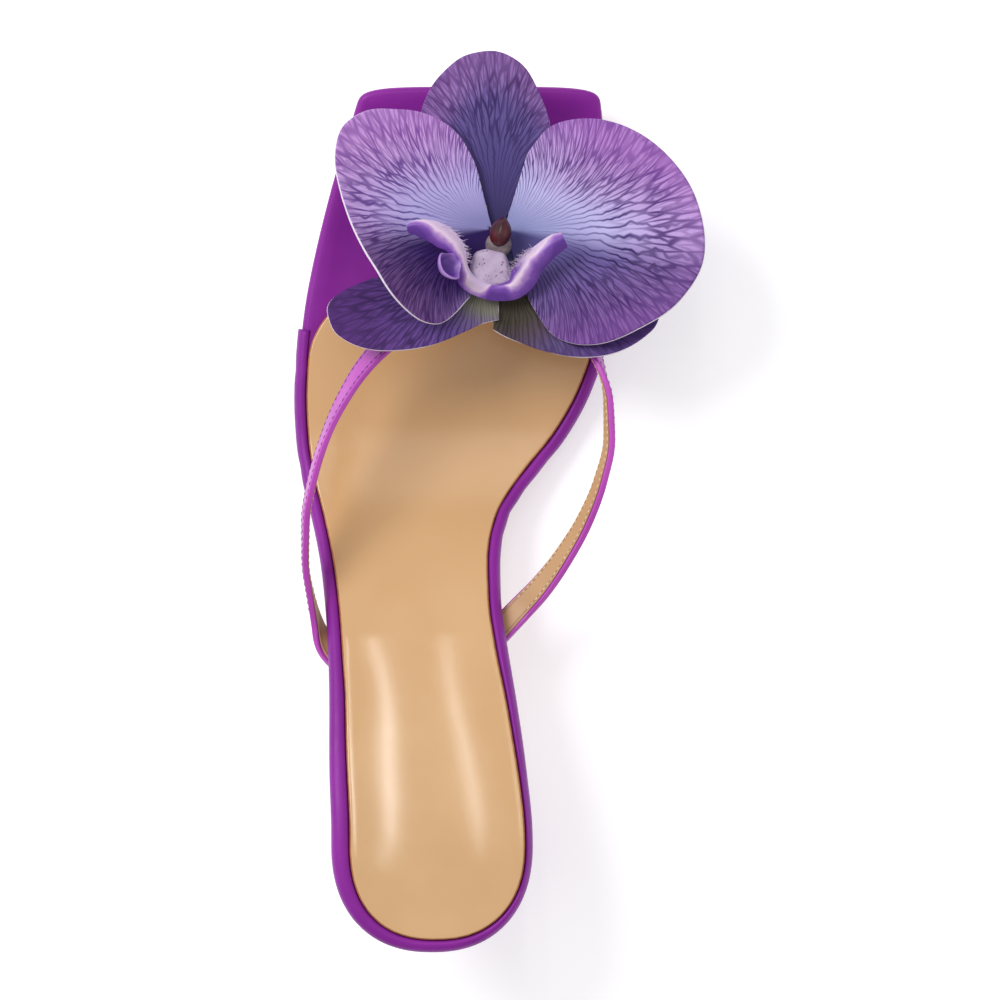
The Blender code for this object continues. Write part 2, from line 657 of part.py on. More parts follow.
def main():
    for made in list(bpy.data.objects):
        bpy.data.objects.remove(made, do_unlink=True)
    parts = bpy.data.collections.new("toe_post_mule_sandal")
    cutters = bpy.data.collections.new("cutters")
    bpy.context.scene.collection.children.link(parts)
    bpy.context.scene.collection.children.link(cutters)

    sole_paint = material("outsole_tan", (0.36, 0.25, 0.16), 0.6)
    cover = material("heel_purple", (0.25, 0.03, 0.35), 0.35)
    rubber = material("top_piece_dark", (0.02, 0.02, 0.02), 0.6)
    footbed_paint = material("footbed_purple", (0.25, 0.03, 0.35), 0.35)
    binding_paint = material("binding_purple", (0.27, 0.035, 0.37), 0.35)
    sock_paint = material("sock_tan", (0.67, 0.43, 0.22), 0.35)
    strap_paint = material("strap_purple", (0.25, 0.03, 0.35), 0.35)
    base_paint = material("flower_base_green", (0.2, 0.2, 0.12), 0.7)
    lip_paint = material("lip_purple", (0.24, 0.07, 0.3), 0.6)
    plate_paint = material("plate_mauve", (0.55, 0.4, 0.55), 0.6)
    column_paint = material("column_red", (0.15, 0.03, 0.03), 0.6)

    outsole = sole_piece("outsole", BREAST_END, TOE_END, OUTSOLE_EDGE, math.inf, parts, sole_paint)
    add_boolean(outsole, "DIFFERENCE", make_slot("outer_slot", OUTER_STRAP, cutters))
    add_boolean(outsole, "DIFFERENCE", make_slot("inner_slot", INNER_STRAP, cutters))
    make_heel(parts, cover, rubber)
    rim_height = FOOTBED_EDGE[-1][1]
    footbed = sole_piece("footbed", HEEL_END, TOE_END, FOOTBED_EDGE, rim_height, parts, footbed_paint)
    hole_radius = POST_RADIUS + GAP
    hole = make_cylinder("post_hole", hole_radius, 0.0, POST_HOLE_TOP, FLOWER_ACROSS, FLOWER_ALONG, POST_CELLS,
                         cutters, None)
    add_boolean(footbed, "DIFFERENCE", hole)
    make_binding(parts, binding_paint)
    sole_piece("sock", HEEL_END, TONGUE_END, SOCK_EDGE, 0.0, parts, sock_paint)
    make_upper(parts, cutters, strap_paint)
    make_flower_base(parts, cutters, base_paint)
    for name in LOBES:
        colour = SEPAL_COLOUR if name.startswith("sepal") else PETAL_COLOUR
        make_lobe(name, parts, material(name + "_cloth", colour, 0.7))
    make_lip(parts, lip_paint)
    make_plate_and_column(parts, plate_paint, column_paint)
    centre_on_floor(parts, cutters)
    for made in cutters.objects:
        made.hide_render = True
        made.display_type = "WIRE"


main()
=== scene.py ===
"""Looks of the left toe-post mule sandal: leather, lining, stitches, printed cloth orchid and studio light.

Sizes are in millimetres on the foot's own axes until a point is placed: across runs to the inner side of the
foot, along runs from the heel end to the toe, and height runs up from the floor.
"""
import math

import bmesh
import bpy
import numpy as np
from mathutils import Matrix, Vector


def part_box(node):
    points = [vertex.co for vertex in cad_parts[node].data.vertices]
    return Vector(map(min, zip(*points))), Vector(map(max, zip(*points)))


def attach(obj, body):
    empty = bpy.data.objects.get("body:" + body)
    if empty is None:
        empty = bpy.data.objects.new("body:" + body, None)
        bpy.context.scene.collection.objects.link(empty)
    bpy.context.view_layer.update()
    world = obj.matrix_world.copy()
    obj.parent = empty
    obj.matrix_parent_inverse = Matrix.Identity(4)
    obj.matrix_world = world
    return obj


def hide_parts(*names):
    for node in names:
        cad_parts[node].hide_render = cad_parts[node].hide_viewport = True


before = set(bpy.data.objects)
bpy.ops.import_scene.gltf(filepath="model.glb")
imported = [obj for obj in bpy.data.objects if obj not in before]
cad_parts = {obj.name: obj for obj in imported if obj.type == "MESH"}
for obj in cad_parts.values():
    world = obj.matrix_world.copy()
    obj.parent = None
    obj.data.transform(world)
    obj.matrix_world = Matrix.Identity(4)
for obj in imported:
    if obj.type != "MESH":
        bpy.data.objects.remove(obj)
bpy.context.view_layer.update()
BODY = "root"
MM = 0.001
# Least angle of a hard edge: leather and rubber, cloth, small round pieces.
SHARP_ANGLE = 40.0
CLOTH_ANGLE = 60.0
ROUND_ANGLE = 80.0

# Edge of the footbed seen from above: along, outer side of the foot, inner side of the foot.
PLAN = (
    (0.5, -44.8, 7.9),
    (30.0, -44.6, 7.8),
    (50.0, -45.3, 5.9),
    (67.0, -45.5, 3.4),
    (83.0, -46.2, 0.7),
    (94.0, -47.2, -0.8),
    (105.0, -48.7, -1.0),
    (116.0, -51.1, 1.0),
    (127.0, -54.0, 7.7),
    (138.0, -55.8, 16.5),
    (150.0, -56.4, 23.5),
    (163.0, -55.8, 28.2),
    (175.0, -54.5, 31.0),
    (186.0, -52.5, 31.4),
    (208.0, -47.1, 30.4),
    (230.0, -40.3, 28.2),
    (236.4, -38.4, 27.5),
)
# Underside of the footbed: along, height.
SOLE_LINE = (
    (0.0, 49.0),
    (30.0, 46.4),
    (52.0, 41.2),
    (82.0, 29.0),
    (110.0, 14.2),
    (128.0, 6.4),
    (142.0, 3.8),
    (182.0, 3.8),
    (210.0, 6.0),
    (236.4, 10.4),
)
# Dish of the sock along the heel seat: along, share of DISH.
DISH = 1.0
DISH_SHARE = ((0.0, 0.0), (14.0, 0.6), (32.0, 1.0), (62.0, 1.0), (110.0, 0.4), (150.0, 0.0), (240.0, 0.0))
EASE = 5.0
EASE_REACH = 0.9
EASE_STEPS = 9
WELD = 1e-7

# Ends of a plan: where it stops along the foot, how far the corners reach back, how square they are.
HEEL_END = {"stop": 0.5, "reach": 28.4, "square": 2.3}
TOE_END = {"stop": 236.4, "reach": 6.5, "square": 5.0}
BREAST_END = {"stop": 51.0, "reach": 3.0, "square": 6.0}
TONGUE_END = {"stop": 189.6, "reach": 30.0, "square": 2.2}
END_CROWDING = 0.6
SOLE_CELLS = (28, 220)
TREAD_CELLS = (40, 300)

# Edges of the sole layers, from the lower face to the upper face: inset from the plan, height over SOLE_LINE.
FOOTBED_EDGE = ((2.0, 0.0), (0.7, 0.35), (0.0, 1.5), (0.0, 3.1), (0.6, 4.15), (1.5, 4.55), (2.6, 4.6))
OUTSOLE_EDGE = ((2.4, -3.8), (2.0, -3.3), (2.0, -0.3))
OUTSOLE_RINGS = 8
SOCK_EDGE = ((2.5, 4.75), (2.5, 5.45), (2.58, 5.75), (2.8, 6.0), (3.15, 6.12), (3.6, 6.15))
SOCK_RINGS = 14
SOCK_CUT_RINGS = 9
BINDING_EDGE = ((0.6, -0.5), (-0.4, -0.1), (-1.0, 0.9), (-1.1, 2.0), (-1.0, 3.4), (-0.5, 4.6), (0.4, 5.4),
                (1.3, 5.6), (2.0, 5.3), (2.35, 4.8))
EDGE_RINGS = 18
BINDING_WALL = 0.6
# Shift of the sock and of the binding's roll to the inner side of the foot: along, shift.
SEAT_SHIFT = ((0.0, 1.0), (24.0, 1.5), (36.0, 1.5), (46.0, 1.4), (56.0, 1.1), (67.0, 0.9), (80.0, 0.4),
              (94.0, 0.25), (115.0, 0.0), (240.0, 0.0))
ROLL_REACH = (-0.5, 2.35)
BINDING_SEAM = 170.0
# Soft creases across the binding: side of the foot, place along it, depth, half length.
BINDING_CREASES = (
    (1.0, 112.0, 0.22, 2.2),
    (1.0, 118.5, 0.30, 2.0),
    (1.0, 125.0, 0.26, 2.4),
    (1.0, 133.5, 0.18, 2.6),
    (-1.0, 121.0, 0.16, 2.4),
    (-1.0, 131.0, 0.20, 2.6),
    (-1.0, 158.0, 0.16, 2.0),
)
TOE_SINK = 0.8
TOE_RIM = (2.8, 8.5)

# Tread under the forefoot: pitch and depth of its ribs, plain border, first and last place along the foot.
TREAD_PITCH = 4.2
TREAD_DEPTH = 0.5
TREAD_BORDER = (5.0, 7.0)
TREAD_RUN = (128.0, 196.0)
TREAD_SLANT = 0.35
TREAD_FADE = 2.0
RIB_FLANK = (-0.2, 0.6)

# Heel sections from the seat down: height, back, front, half width, squareness of the front.
HEEL_LEVELS = (
    (45.0, 2.2, 50.4, 25.4, 0.55),
    (40.0, 3.6, 46.5, 23.4, 0.55),
    (33.0, 6.6, 39.5, 18.4, 0.60),
    (24.0, 10.0, 33.6, 13.0, 0.65),
    (14.0, 12.2, 30.8, 9.6, 0.70),
    (5.3, 13.0, 29.6, 8.4, 0.75),
)
HEEL_CENTRE = -18.4
SEAT_BLEND = 3.0
HEEL_BACK_SQUARE = 0.15
HEEL_CELLS = (20, 20)
HEEL_RINGS = 36
HEEL_EASE = 1.5
TOP_PIECE_EDGE = ((1.2, 0.0), (0.8, 0.1), (0.3, 0.5), (0.05, 1.1), (0.0, 1.8), (0.0, 4.6), (0.15, 4.9),
                  (0.4, 5.0))
TOP_PIECE_RINGS = 16
GAP = 0.3

# Straps from the sole to the crossing: along, across, height, lean of the outer face away from straight up.
OUTER_STRAP = (
    (74.0, -37.0, 30.9, 158.0),
    (76.5, -42.0, 29.8, 160.0),
    (80.5, -46.6, 27.9, 150.0),
    (86.0, -49.8, 27.2, 110.0),
    (94.3, -51.9, 29.6, 92.0),
    (105.2, -53.4, 33.4, 86.0),
    (116.1, -53.2, 36.4, 82.0),
    (127.1, -51.2, 38.4, 79.0),
    (138.0, -47.9, 39.2, 77.0),
    (148.9, -43.0, 38.2, 68.0),
    (159.8, -35.8, 36.2, 54.0),
    (170.8, -24.0, 33.8, 34.0),
    (179.0, -13.9, 32.3, 16.0),
    (186.0, -5.8, 31.5, 4.0),
    (190.8, -0.8, 31.2, 0.0),
    (194.6, 3.2, 30.7, 0.0),
)
INNER_STRAP = (
    (75.4, -9.6, 30.3, 162.0),
    (80.6, -4.8, 27.9, 162.0),
    (86.4, 0.6, 25.1, 160.0),
    (91.6, 5.6, 24.0, 154.0),
    (97.2, 10.9, 26.0, 144.0),
    (105.2, 16.9, 30.2, 130.0),
    (116.1, 23.3, 34.8, 117.0),
    (127.1, 27.6, 37.8, 108.0),
    (138.0, 29.9, 39.3, 102.0),
    (148.9, 29.6, 38.8, 97.0),
    (157.0, 27.7, 37.4, 84.0),
    (164.0, 24.6, 35.8, 62.0),
    (173.0, 17.2, 33.8, 36.0),
    (182.0, 8.6, 32.2, 12.0),
    (190.8, -0.8, 31.6, 0.0),
    (194.6, -4.8, 31.1, 0.0),
)
STRAPS = {"outer": OUTER_STRAP, "inner": INNER_STRAP}
STRAP_EASE = 3.0
STRAP_STEP = 0.3
STRAP_CELLS = (12, 150)
# Layers of a strap: width, height of its outer face over the strap's middle, wall, crown, shift to the lower
# edge, inset of its stitches, share of its half width darkened to each side of them by needle holes and
# painted shade.
STRAP_LEATHER = {"width": 7.5, "face": 0.75, "wall": 1.6, "crown": 0.2, "shift": 0.0, "inset": 1.0,
                 "seam_dark": 0.1}
STRAP_LINING = {"width": 5.8, "face": -0.75, "wall": 0.28, "crown": 0.0, "shift": 0.5, "inset": 0.65,
                "seam_dark": 0.14}
STRAP_ROUNDING = 0.4
STITCH_PITCH = 1.8
STITCH_SIZE = (0.22, 0.62, 0.2)
STITCH_RUN = (0.17, 0.93)
STITCH_PROUD = 0.06
POST_PROFILE = ((3.1, 0.0), (2.7, 0.7), (2.4, 2.2), (2.3, 8.0), (2.3, 16.0), (2.6, 20.5), (3.2, 22.4))
POST_RINGS = 24
POST_SIDES = 32

# The orchid stands on the toe post and leans towards the toe.
FLOWER_ALONG = 190.8
FLOWER_ACROSS = -0.8
FLOWER_SEAT = 35.2
FLOWER_LEAN = 0.13
FLOWER_BOWL = 0.0025
BASE_PROFILE = ((0.0, -2.0), (6.0, -2.0), (9.4, -1.6), (10.0, -1.0), (9.6, -0.4), (8.4, -0.1), (2.4, 0.0),
                (2.2, 0.6), (2.2, 5.4), (0.0, 5.4))
BASE_SIDES = 48
LOBE_CELLS = (120, 64)
LOBE_WALL = 0.6
CUT_STEPS = 241
LOBE_EASE = 4.0
ROOT_SHARE = 0.02
CURL_POWER = 3.2
LOBE_WAVES = 2.0
VEIN_HUG = 0.8
VEIN_SOFT = 0.35
PLEAT_DEPTH = 0.12
PLEAT_COUNT = 22.0
PLEAT_END = 0.08
VEIN_UNIT = 10.0
ROOT_TAIL = 6.0
ROOT_TAIL_POWER = 4.0

# Lobes: base across and along from the flower, lift over the seat, wave of the rim, ray of the midrib,
# and rays of angle and radius.
LOBES = {
    "sepal_right": {
        "base": (0.5, -4.6),
        "lift": 0.7,
        "wave": -2.0,
        "midrib": 330.0,
        "rays": ((265, 18.2), (276, 20.4), (285, 22.5), (298, 27.4), (308, 32.6), (317, 37.5), (324, 41.0),
                 (332, 44.2), (339, 46.2), (345, 45.4), (350, 40.0), (353, 32.0)),
    },
    "sepal_top": {
        "base": (0.0, 8.1),
        "lift": 0.7,
        "wave": -2.5,
        "midrib": 93.0,
        "tail": True,
        "rays": ((44, 15.0), (52, 22.5), (60, 29.0), (71, 35.8), (82, 43.0), (92, 45.5), (100, 45.2),
                 (110, 42.5), (120, 38.6), (128, 34.0), (136, 26.0), (143, 16.0)),
    },
    "sepal_left": {
        "base": (0.0, -4.6),
        "lift": 1.9,
        "wave": -2.0,
        "midrib": 204.0,
        "rays": ((187, 32.0), (190, 42.0), (195, 48.0), (202, 48.3), (208, 46.0), (214, 42.3), (222, 35.8),
                 (232, 28.5), (244, 21.0), (258, 16.7), (272, 15.5)),
    },
    "petal_right": {
        "base": (1.9, 4.6),
        "lift": 1.9,
        "wave": 2.4,
        "midrib": -4.0,
        "rays": ((-71, 18.0), (-67, 30.0), (-60, 36.0), (-50, 41.0), (-37, 45.6), (-22, 51.8), (-8, 54.9),
                 (8, 53.0), (25, 48.5), (45, 41.4), (60, 34.4), (67, 30.0), (73, 21.0)),
    },
    "petal_left": {
        "base": (-1.4, 4.6),
        "lift": 3.1,
        "wave": 1.6,
        "midrib": 168.0,
        "rays": ((104, 17.0), (108, 25.8), (115, 32.7), (122, 37.9), (129, 42.0), (137, 47.0), (146, 49.2),
                 (154, 47.4), (166, 42.4), (176, 38.8), (190, 35.1), (203, 33.0), (219, 32.4), (231, 31.9),
                 (241, 29.9), (252, 19.0)),
        "curl": 13.0,
        "curl_ray": 202.0,
        "curl_spread": 34.0,
    },
}

# Lip from arm tip to arm tip, from the flower: across, along, rise over the seat, inner and outer half width,
# inner and outer edge drop.
LIP = (
    (-24.6, 4.7, 14.1, 0.4, 1.5, 0.2, 0.6),
    (-22.0, 5.2, 14.6, 1.1, 2.6, 0.5, 1.2),
    (-17.8, 4.5, 15.0, 1.8, 3.5, 0.9, 2.0),
    (-14.0, 2.3, 15.0, 2.2, 3.5, 1.1, 2.1),
    (-11.2, -0.7, 14.6, 2.0, 2.3, 1.1, 1.3),
    (-9.9, -3.4, 13.7, 1.3, 2.2, 0.8, 1.6),
    (-9.1, -6.4, 12.5, 1.1, 2.6, 0.7, 1.8),
    (-7.3, -9.2, 11.1, 1.1, 3.0, 0.7, 1.7),
    (-3.8, -11.2, 9.9, 1.2, 2.9, 0.8, 1.5),
    (-0.6, -11.9, 9.6, 1.3, 3.0, 0.8, 1.5),
    (3.6, -11.2, 10.0, 1.3, 3.6, 0.8, 1.9),
    (6.6, -8.4, 11.2, 2.9, 4.2, 2.2, 2.5),
    (9.2, -4.9, 12.4, 2.7, 3.6, 2.0, 2.1),
    (12.6, -1.6, 13.2, 2.2, 3.2, 1.2, 1.9),
    (15.6, 0.4, 13.6, 2.2, 2.8, 1.0, 1.5),
    (18.3, 1.7, 13.5, 1.5, 2.2, 0.5, 0.9),
)
LIP_CELLS = (28, 150)
LIP_WALL = 0.8
LIP_EASE = 1.4
LIP_STEP = 0.4
LIP_CREST = 1.45
# Curled lobe on the left arm of the lip: section of radius and height, place from the flower and rise of its
# rim over the seat, tilts about the along and across axes, height and reach of the waves of its rim, their
# number.
SIDE_LOBE_PROFILE = ((0.0, -2.7), (1.6, -2.5), (3.0, -1.7), (3.8, -0.6), (4.05, 0.3), (3.9, 0.5),
                     (3.65, 0.25), (3.2, -0.7), (2.4, -1.5), (1.2, -2.0), (0.0, -2.15))
SIDE_LOBE_RINGS = 36
SIDE_LOBE_PLACE = (-12.7, -5.8, 16.2)
SIDE_LOBE_TILTS = (46.0, -22.0)
SIDE_LOBE_WAVE = (0.5, 0.1)
SIDE_LOBE_WAVES = 3.0
SIDE_LOBE_SIDES = 48
PLATE_SIZE = (9.8, 9.4, 4.2)
PLATE_OFFSET = (-2.0, -6.2)
PLATE_SEAT = 5.7
PLATE_TAPER = 0.12
PLATE_ROUND = 0.6
PLATE_BALL = 1.25
PLATE_CUTS = 5
HOOD_SIZE = (6.0, 8.4, 6.4)
HOOD_OFFSET = (1.0, 3.6)
HOOD_TAPER = 0.5
HOOD_TURN = -14.0
HOOD_RIDGE = (0.16, 0.26)
HOOD_CELLS = (48, 32)
COLLAR_SIZE = (7.2, 7.0, 4.0)
COLLAR_OFFSET = (0.4, 0.2)
COLLAR_CELLS = (40, 24)
HAIR_COUNT = 200
HAIR_LENGTH = (1.2, 3.0)
HAIR_RADIUS = 0.07
HAIR_SIDES = 5
HAIR_SEED = 7
# Hairs: where they grow along each arm and in from its edge, how they stray and lift, width at the tip.
HAIR_RUN = (0.14, 0.36)
HAIR_ROOT = 0.08
HAIR_STRAY = 0.4
HAIR_LIFT = (0.0, 0.3, 0.5)
HAIR_TIP = 0.25

# Camera straight over the shoe: height over the floor, width of floor in the picture, middle along the foot.
CAMERA_HEIGHT = 1400.0
CAMERA_WIDTH = 280.4
CAMERA_ALONG = 121.6
SENSOR = 36.0


def srgb(red, green, blue):
    """Linear colour of a paint given in display values from 0 to 255."""
    shares = [value / 255.0 for value in (red, green, blue)]
    linear = [share / 12.92 if share <= 0.04045 else ((share + 0.055) / 1.055) ** 2.4 for share in shares]
    return (*linear, 1.0)


PURPLE = srgb(141, 39, 155)
PURPLE_DEEP = srgb(127, 33, 142)
# Purple of the line under the strap stitches: needle holes and painted shade.
PURPLE_SEAM = srgb(104, 30, 124)
# Lighter copy of the purple leather for the straps: painted light where the straps face the lamps.
LIT_STRAP_PURPLE = srgb(195, 80, 190)
LIT_STRAP_DEEP = srgb(178, 66, 176)
TAN = srgb(220, 178, 131)
TAN_DEEP = srgb(214, 170, 122)
LINING_TAN = srgb(204, 163, 120)
LINING_DEEP = srgb(196, 154, 111)
# Tan of the line under the lining's stitches: needle holes and painted shade.
TAN_SEAM = srgb(152, 106, 70)
TAN_EDGE = srgb(186, 116, 70)
TAN_EDGE_DEEP = srgb(158, 92, 52)
THREAD_PURPLE = srgb(62, 14, 82)
THREAD_PALE = srgb(248, 228, 190)
SOLE_BROWN = srgb(160, 128, 98)
RUBBER_DARK = srgb(38, 34, 36)
BASE_FELT = srgb(112, 112, 162)
CUT_WHITE = srgb(236, 226, 238)


def table_curve(known, values, at):
    """Smooth curve through the rows of a table, flat at its peaks, read at many places at once."""
    known = np.asarray(known, float)
    values = np.asarray(values, float)
    at = np.clip(at, known[0], known[-1])
    rise = np.diff(values) / np.diff(known)
    slope = np.concatenate((rise[:1], np.zeros(len(known) - 2), rise[-1:]))
    product = rise[:-1] * rise[1:]
    total = np.where(product > 0.0, rise[:-1] + rise[1:], 1.0)
    slope[1:-1] = np.where(product > 0.0, 2.0 * product / total, 0.0)
    row = np.clip(np.searchsorted(known, at, side="right") - 1, 0, len(known) - 2)
    span = known[row + 1] - known[row]
    part = (at - known[row]) / span
    rest = 1.0 - part
    start = (values[row] * (1.0 + 2.0 * part) + slope[row] * span * part) * rest * rest
    end = (values[row + 1] * (3.0 - 2.0 * part) - slope[row + 1] * span * rest) * part * part
    return start + end


def eased(known, values, at, softness):
    """Table curve with its corners eased over a short stretch."""
    offsets = np.linspace(-EASE_REACH, EASE_REACH, EASE_STEPS)
    weights = np.cos(offsets * math.pi / 2.0) ** 2
    at = np.asarray(at, float)
    read = [table_curve(known, values, at + offset * softness) for offset in offsets]
    return sum(weight * value for weight, value in zip(weights, read)) / weights.sum()


def column(table, index):
    return [row[index] for row in table]


def smooth_step(low, high, value):
    part = np.clip((value - low) / (high - low), 0.0, 1.0)
    return part * part * (3.0 - 2.0 * part)


def sole_line(along):
    return eased(column(SOLE_LINE, 0), column(SOLE_LINE, 1), along, EASE)


def plan_sides(along):
    known = column(PLAN, 0)
    return eased(known, column(PLAN, 1), along, EASE), eased(known, column(PLAN, 2), along, EASE)


def foot_origin():
    """Place of the foot's own axes in the frame, read from the rubber piece under the heel."""
    low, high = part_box("heel_top_piece")
    middle = (low + high) / 2.0
    back, front = HEEL_LEVELS[-1][1:3]
    return np.array((middle.x - HEEL_CENTRE * MM, middle.y - (back + front) / 2.0 * MM, 0.0))


ORIGIN = foot_origin()


def placed(across, along, height):
    """Points in the frame, in metres, of points on the foot's own axes."""
    return np.stack(np.broadcast_arrays(across, along, height), axis=-1) * MM + ORIGIN


def flower_placed(across, along, height):
    return placed(FLOWER_ACROSS + across, FLOWER_ALONG + along, height)


def end_depth(end, share):
    """Distance back from an end at which the plan is this share of its full width."""
    power = end["square"]
    return end["reach"] * (1.0 - (1.0 - np.abs(share) ** power) ** (1.0 / power))


def end_share(end, depth):
    """Share of the full width at a distance back from an end."""
    power = end["square"]
    left = np.clip(1.0 - np.maximum(depth, 0.0) / end["reach"], 0.0, 1.0)
    return (1.0 - left ** power) ** (1.0 / power)


def plan_points(along, share):
    outer, inner = plan_sides(along)
    return np.stack(((inner + outer) / 2.0 + share * (inner - outer) / 2.0, along), axis=-1)


def side_points(back, front, parts, side):
    """Points on the outer (-1) or inner (1) side of a plan, from the back corner to the front corner."""
    crowded = parts - END_CROWDING * np.sin(2.0 * math.pi * parts) / (2.0 * math.pi)
    first = back["stop"] + end_depth(back, 0.5 ** (1.0 / back["square"]))
    last = front["stop"] - end_depth(front, 0.5 ** (1.0 / front["square"]))
    along = first + (last - first) * crowded
    share = end_share(back, along - back["stop"]) * end_share(front, front["stop"] - along)
    return plan_points(along, side * share)


def end_points(end, direction, parts):
    """Points on the back (1) or front (-1) end of a plan, from the outer to the inner side."""
    share = (2.0 * parts - 1.0) * 0.5 ** (1.0 / end["square"])
    return plan_points(end["stop"] + direction * end_depth(end, share), share)


def plan_ring(back, front, inset, cells):
    """Closed outline from the outer back corner round the back, inner side, front and outer side."""
    ends = np.arange(cells[0]) / cells[0]
    sides = np.arange(cells[1]) / cells[1]
    ring = np.concatenate((
        end_points(back, 1.0, ends),
        side_points(back, front, sides, 1.0),
        end_points(front, -1.0, 1.0 - ends),
        side_points(back, front, 1.0 - sides, -1.0),
    ))
    tangent = np.roll(ring, -1, axis=0) - np.roll(ring, 1, axis=0)
    tangent /= np.linalg.norm(tangent, axis=1)[:, None]
    inward = np.stack((-tangent[:, 1], tangent[:, 0]), axis=1)
    return ring + inset * inward


def plan_grid(back, front, inset, cells):
    """Patch filling an outline, rows along the foot and columns across it."""
    ring = plan_ring(back, front, inset, cells)
    first = cells[0]
    second = first + cells[1]
    third = second + cells[0]
    heel = ring[: first + 1]
    inner = ring[first : second + 1]
    toe = ring[second : third + 1][::-1]
    outer = np.concatenate((ring[third:], ring[:1]))[::-1]
    across = np.linspace(0.0, 1.0, cells[0] + 1)[None, :, None]
    along = np.linspace(0.0, 1.0, cells[1] + 1)[:, None, None]
    sides = (1.0 - across) * outer[:, None, :] + across * inner[:, None, :]
    ends = (1.0 - along) * heel[None, :, :] + along * toe[None, :, :]
    corners = (1.0 - across) * ((1.0 - along) * heel[0] + along * toe[0])
    corners = corners + across * ((1.0 - along) * heel[-1] + along * toe[-1])
    return sides + ends - corners


def edge_distance(grid, ring):
    """Distance of every grid point from an outline."""
    flat = grid.reshape(-1, 2)
    nearest = [np.min(np.hypot(*(ring - point).T)) for point in flat]
    return np.array(nearest).reshape(grid.shape[:2])


def refined(edge, rings):
    """More rows on the same edge profile, with its corners eased."""
    rows = np.array(edge, float)
    run = np.concatenate(([0.0], np.cumsum(np.linalg.norm(np.diff(rows, axis=0), axis=1))))
    at = np.linspace(0.0, run[-1], rings)
    return np.stack([table_curve(run, rows[:, index], at) for index in range(2)], axis=1)


def dish(grid):
    """How far the sock sinks below its rim."""
    outer, inner = plan_sides(grid[..., 1])
    off_centre = (grid[..., 0] - (inner + outer) / 2.0) / ((inner - outer) / 2.0 - FOOTBED_EDGE[-1][0])
    share = eased(column(DISH_SHARE, 0), column(DISH_SHARE, 1), grid[..., 1], EASE)
    return DISH * share * np.maximum(0.0, 1.0 - off_centre * off_centre)


def grid_mesh(cells):
    """Flat grid of columns by rows, with the column share and row share of each vertex."""
    mesh = bmesh.new()
    bmesh.ops.create_grid(mesh, x_segments=cells[0], y_segments=cells[1], size=1.0)
    flat = np.array([vert.co for vert in mesh.verts])
    return mesh, (flat[:, 0] + 1.0) / 2.0, (flat[:, 1] + 1.0) / 2.0


def move_to(mesh, points):
    for vert, point in zip(mesh.verts, points):
        vert.co = point


def add_piece(name, mesh, paints, sharp=SHARP_ANGLE):
    """Object of a finished mesh that moves with the shoe."""
    data = bpy.data.meshes.new(name)
    mesh.to_mesh(data)
    mesh.free()
    data.shade_smooth()
    data.set_sharp_from_angle(angle=math.radians(sharp))
    for paint in paints:
        data.materials.append(paint)
    made = bpy.data.objects.new(name, data)
    bpy.context.scene.collection.objects.link(made)
    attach(made, BODY)
    return made


def add_wall(made, wall, offset, rim_paint=0):
    solidify = made.modifiers.new("wall", "SOLIDIFY")
    solidify.thickness = wall * MM
    solidify.offset = offset
    solidify.material_offset_rim = rim_paint


def add_rounding(made, width, segments):
    rounding = made.modifiers.new("rounding", "BEVEL")
    rounding.width = width * MM
    rounding.segments = segments
    rounding.limit_method = "ANGLE"


def stand_for(made, node):
    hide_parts(node)


def stack(levels, cells, painted_rings=0):
    """Closed body: a grid on the lowest level, rings drawn up round its edge, a grid on the highest level."""
    mesh = bmesh.new()
    cell = mesh.verts.layers.float_vector.new("cell")
    bmesh.ops.create_grid(mesh, x_segments=cells[0], y_segments=cells[1], size=1.0)
    for vert in mesh.verts:
        station = round((vert.co.x + 1.0) / 2.0 * cells[0])
        row = round((vert.co.y + 1.0) / 2.0 * cells[1])
        vert[cell] = Vector((station, row, 0.0))
    under = list(mesh.verts)
    rim = [edge for edge in mesh.edges if edge.is_boundary]
    copied = bmesh.ops.duplicate(mesh, geom=list(mesh.verts) + list(mesh.edges) + list(mesh.faces))
    lid = [item for item in copied["geom"] if isinstance(item, bmesh.types.BMVert)]
    set_level(under, cell, levels[0])
    set_level(lid, cell, levels[-1])
    for ring, level in enumerate(levels[1:], 1):
        drawn = bmesh.ops.extrude_edge_only(mesh, edges=rim)["geom"]
        fresh = {item for item in drawn if isinstance(item, bmesh.types.BMVert)}
        set_level(fresh, cell, level)
        for item in drawn:
            if isinstance(item, bmesh.types.BMFace):
                item.material_index = 1 if ring <= painted_rings else 0
        rim = [item for item in drawn if isinstance(item, bmesh.types.BMEdge) and set(item.verts) <= fresh]
    bmesh.ops.remove_doubles(mesh, verts=list(mesh.verts), dist=WELD)
    bmesh.ops.recalc_face_normals(mesh, faces=list(mesh.faces))
    mesh.verts.layers.float_vector.remove(cell)
    return mesh


def set_level(verts, cell, level):
    for vert in verts:
        vert.co = level[round(vert[cell].y), round(vert[cell].x)]


def seat_shift(along):
    return eased(column(SEAT_SHIFT, 0), column(SEAT_SHIFT, 1), along, EASE)


def layer_levels(back, front, edge, cells):
    """Levels of a sole layer, one for each row of its edge profile."""
    levels = []
    for inset, height in edge:
        grid = plan_grid(back, front, inset, cells)
        levels.append(placed(grid[..., 0], grid[..., 1], sole_line(grid[..., 1]) + height))
    return levels


def make_footbed(leather):
    """Covered footbed with a soft rim round the toe."""
    edge = refined(FOOTBED_EDGE, EDGE_RINGS)
    levels = layer_levels(HEEL_END, TOE_END, edge, SOLE_CELLS)
    top = plan_grid(HEEL_END, TOE_END, edge[-1][0], SOLE_CELLS)
    away = edge_distance(top, plan_ring(HEEL_END, TOE_END, 0.0, SOLE_CELLS))
    levels[-1][..., 2] -= TOE_SINK * MM * smooth_step(*TOE_RIM, away)
    stand_for(add_piece("footbed_cover", stack(levels, SOLE_CELLS), [leather]), "footbed")


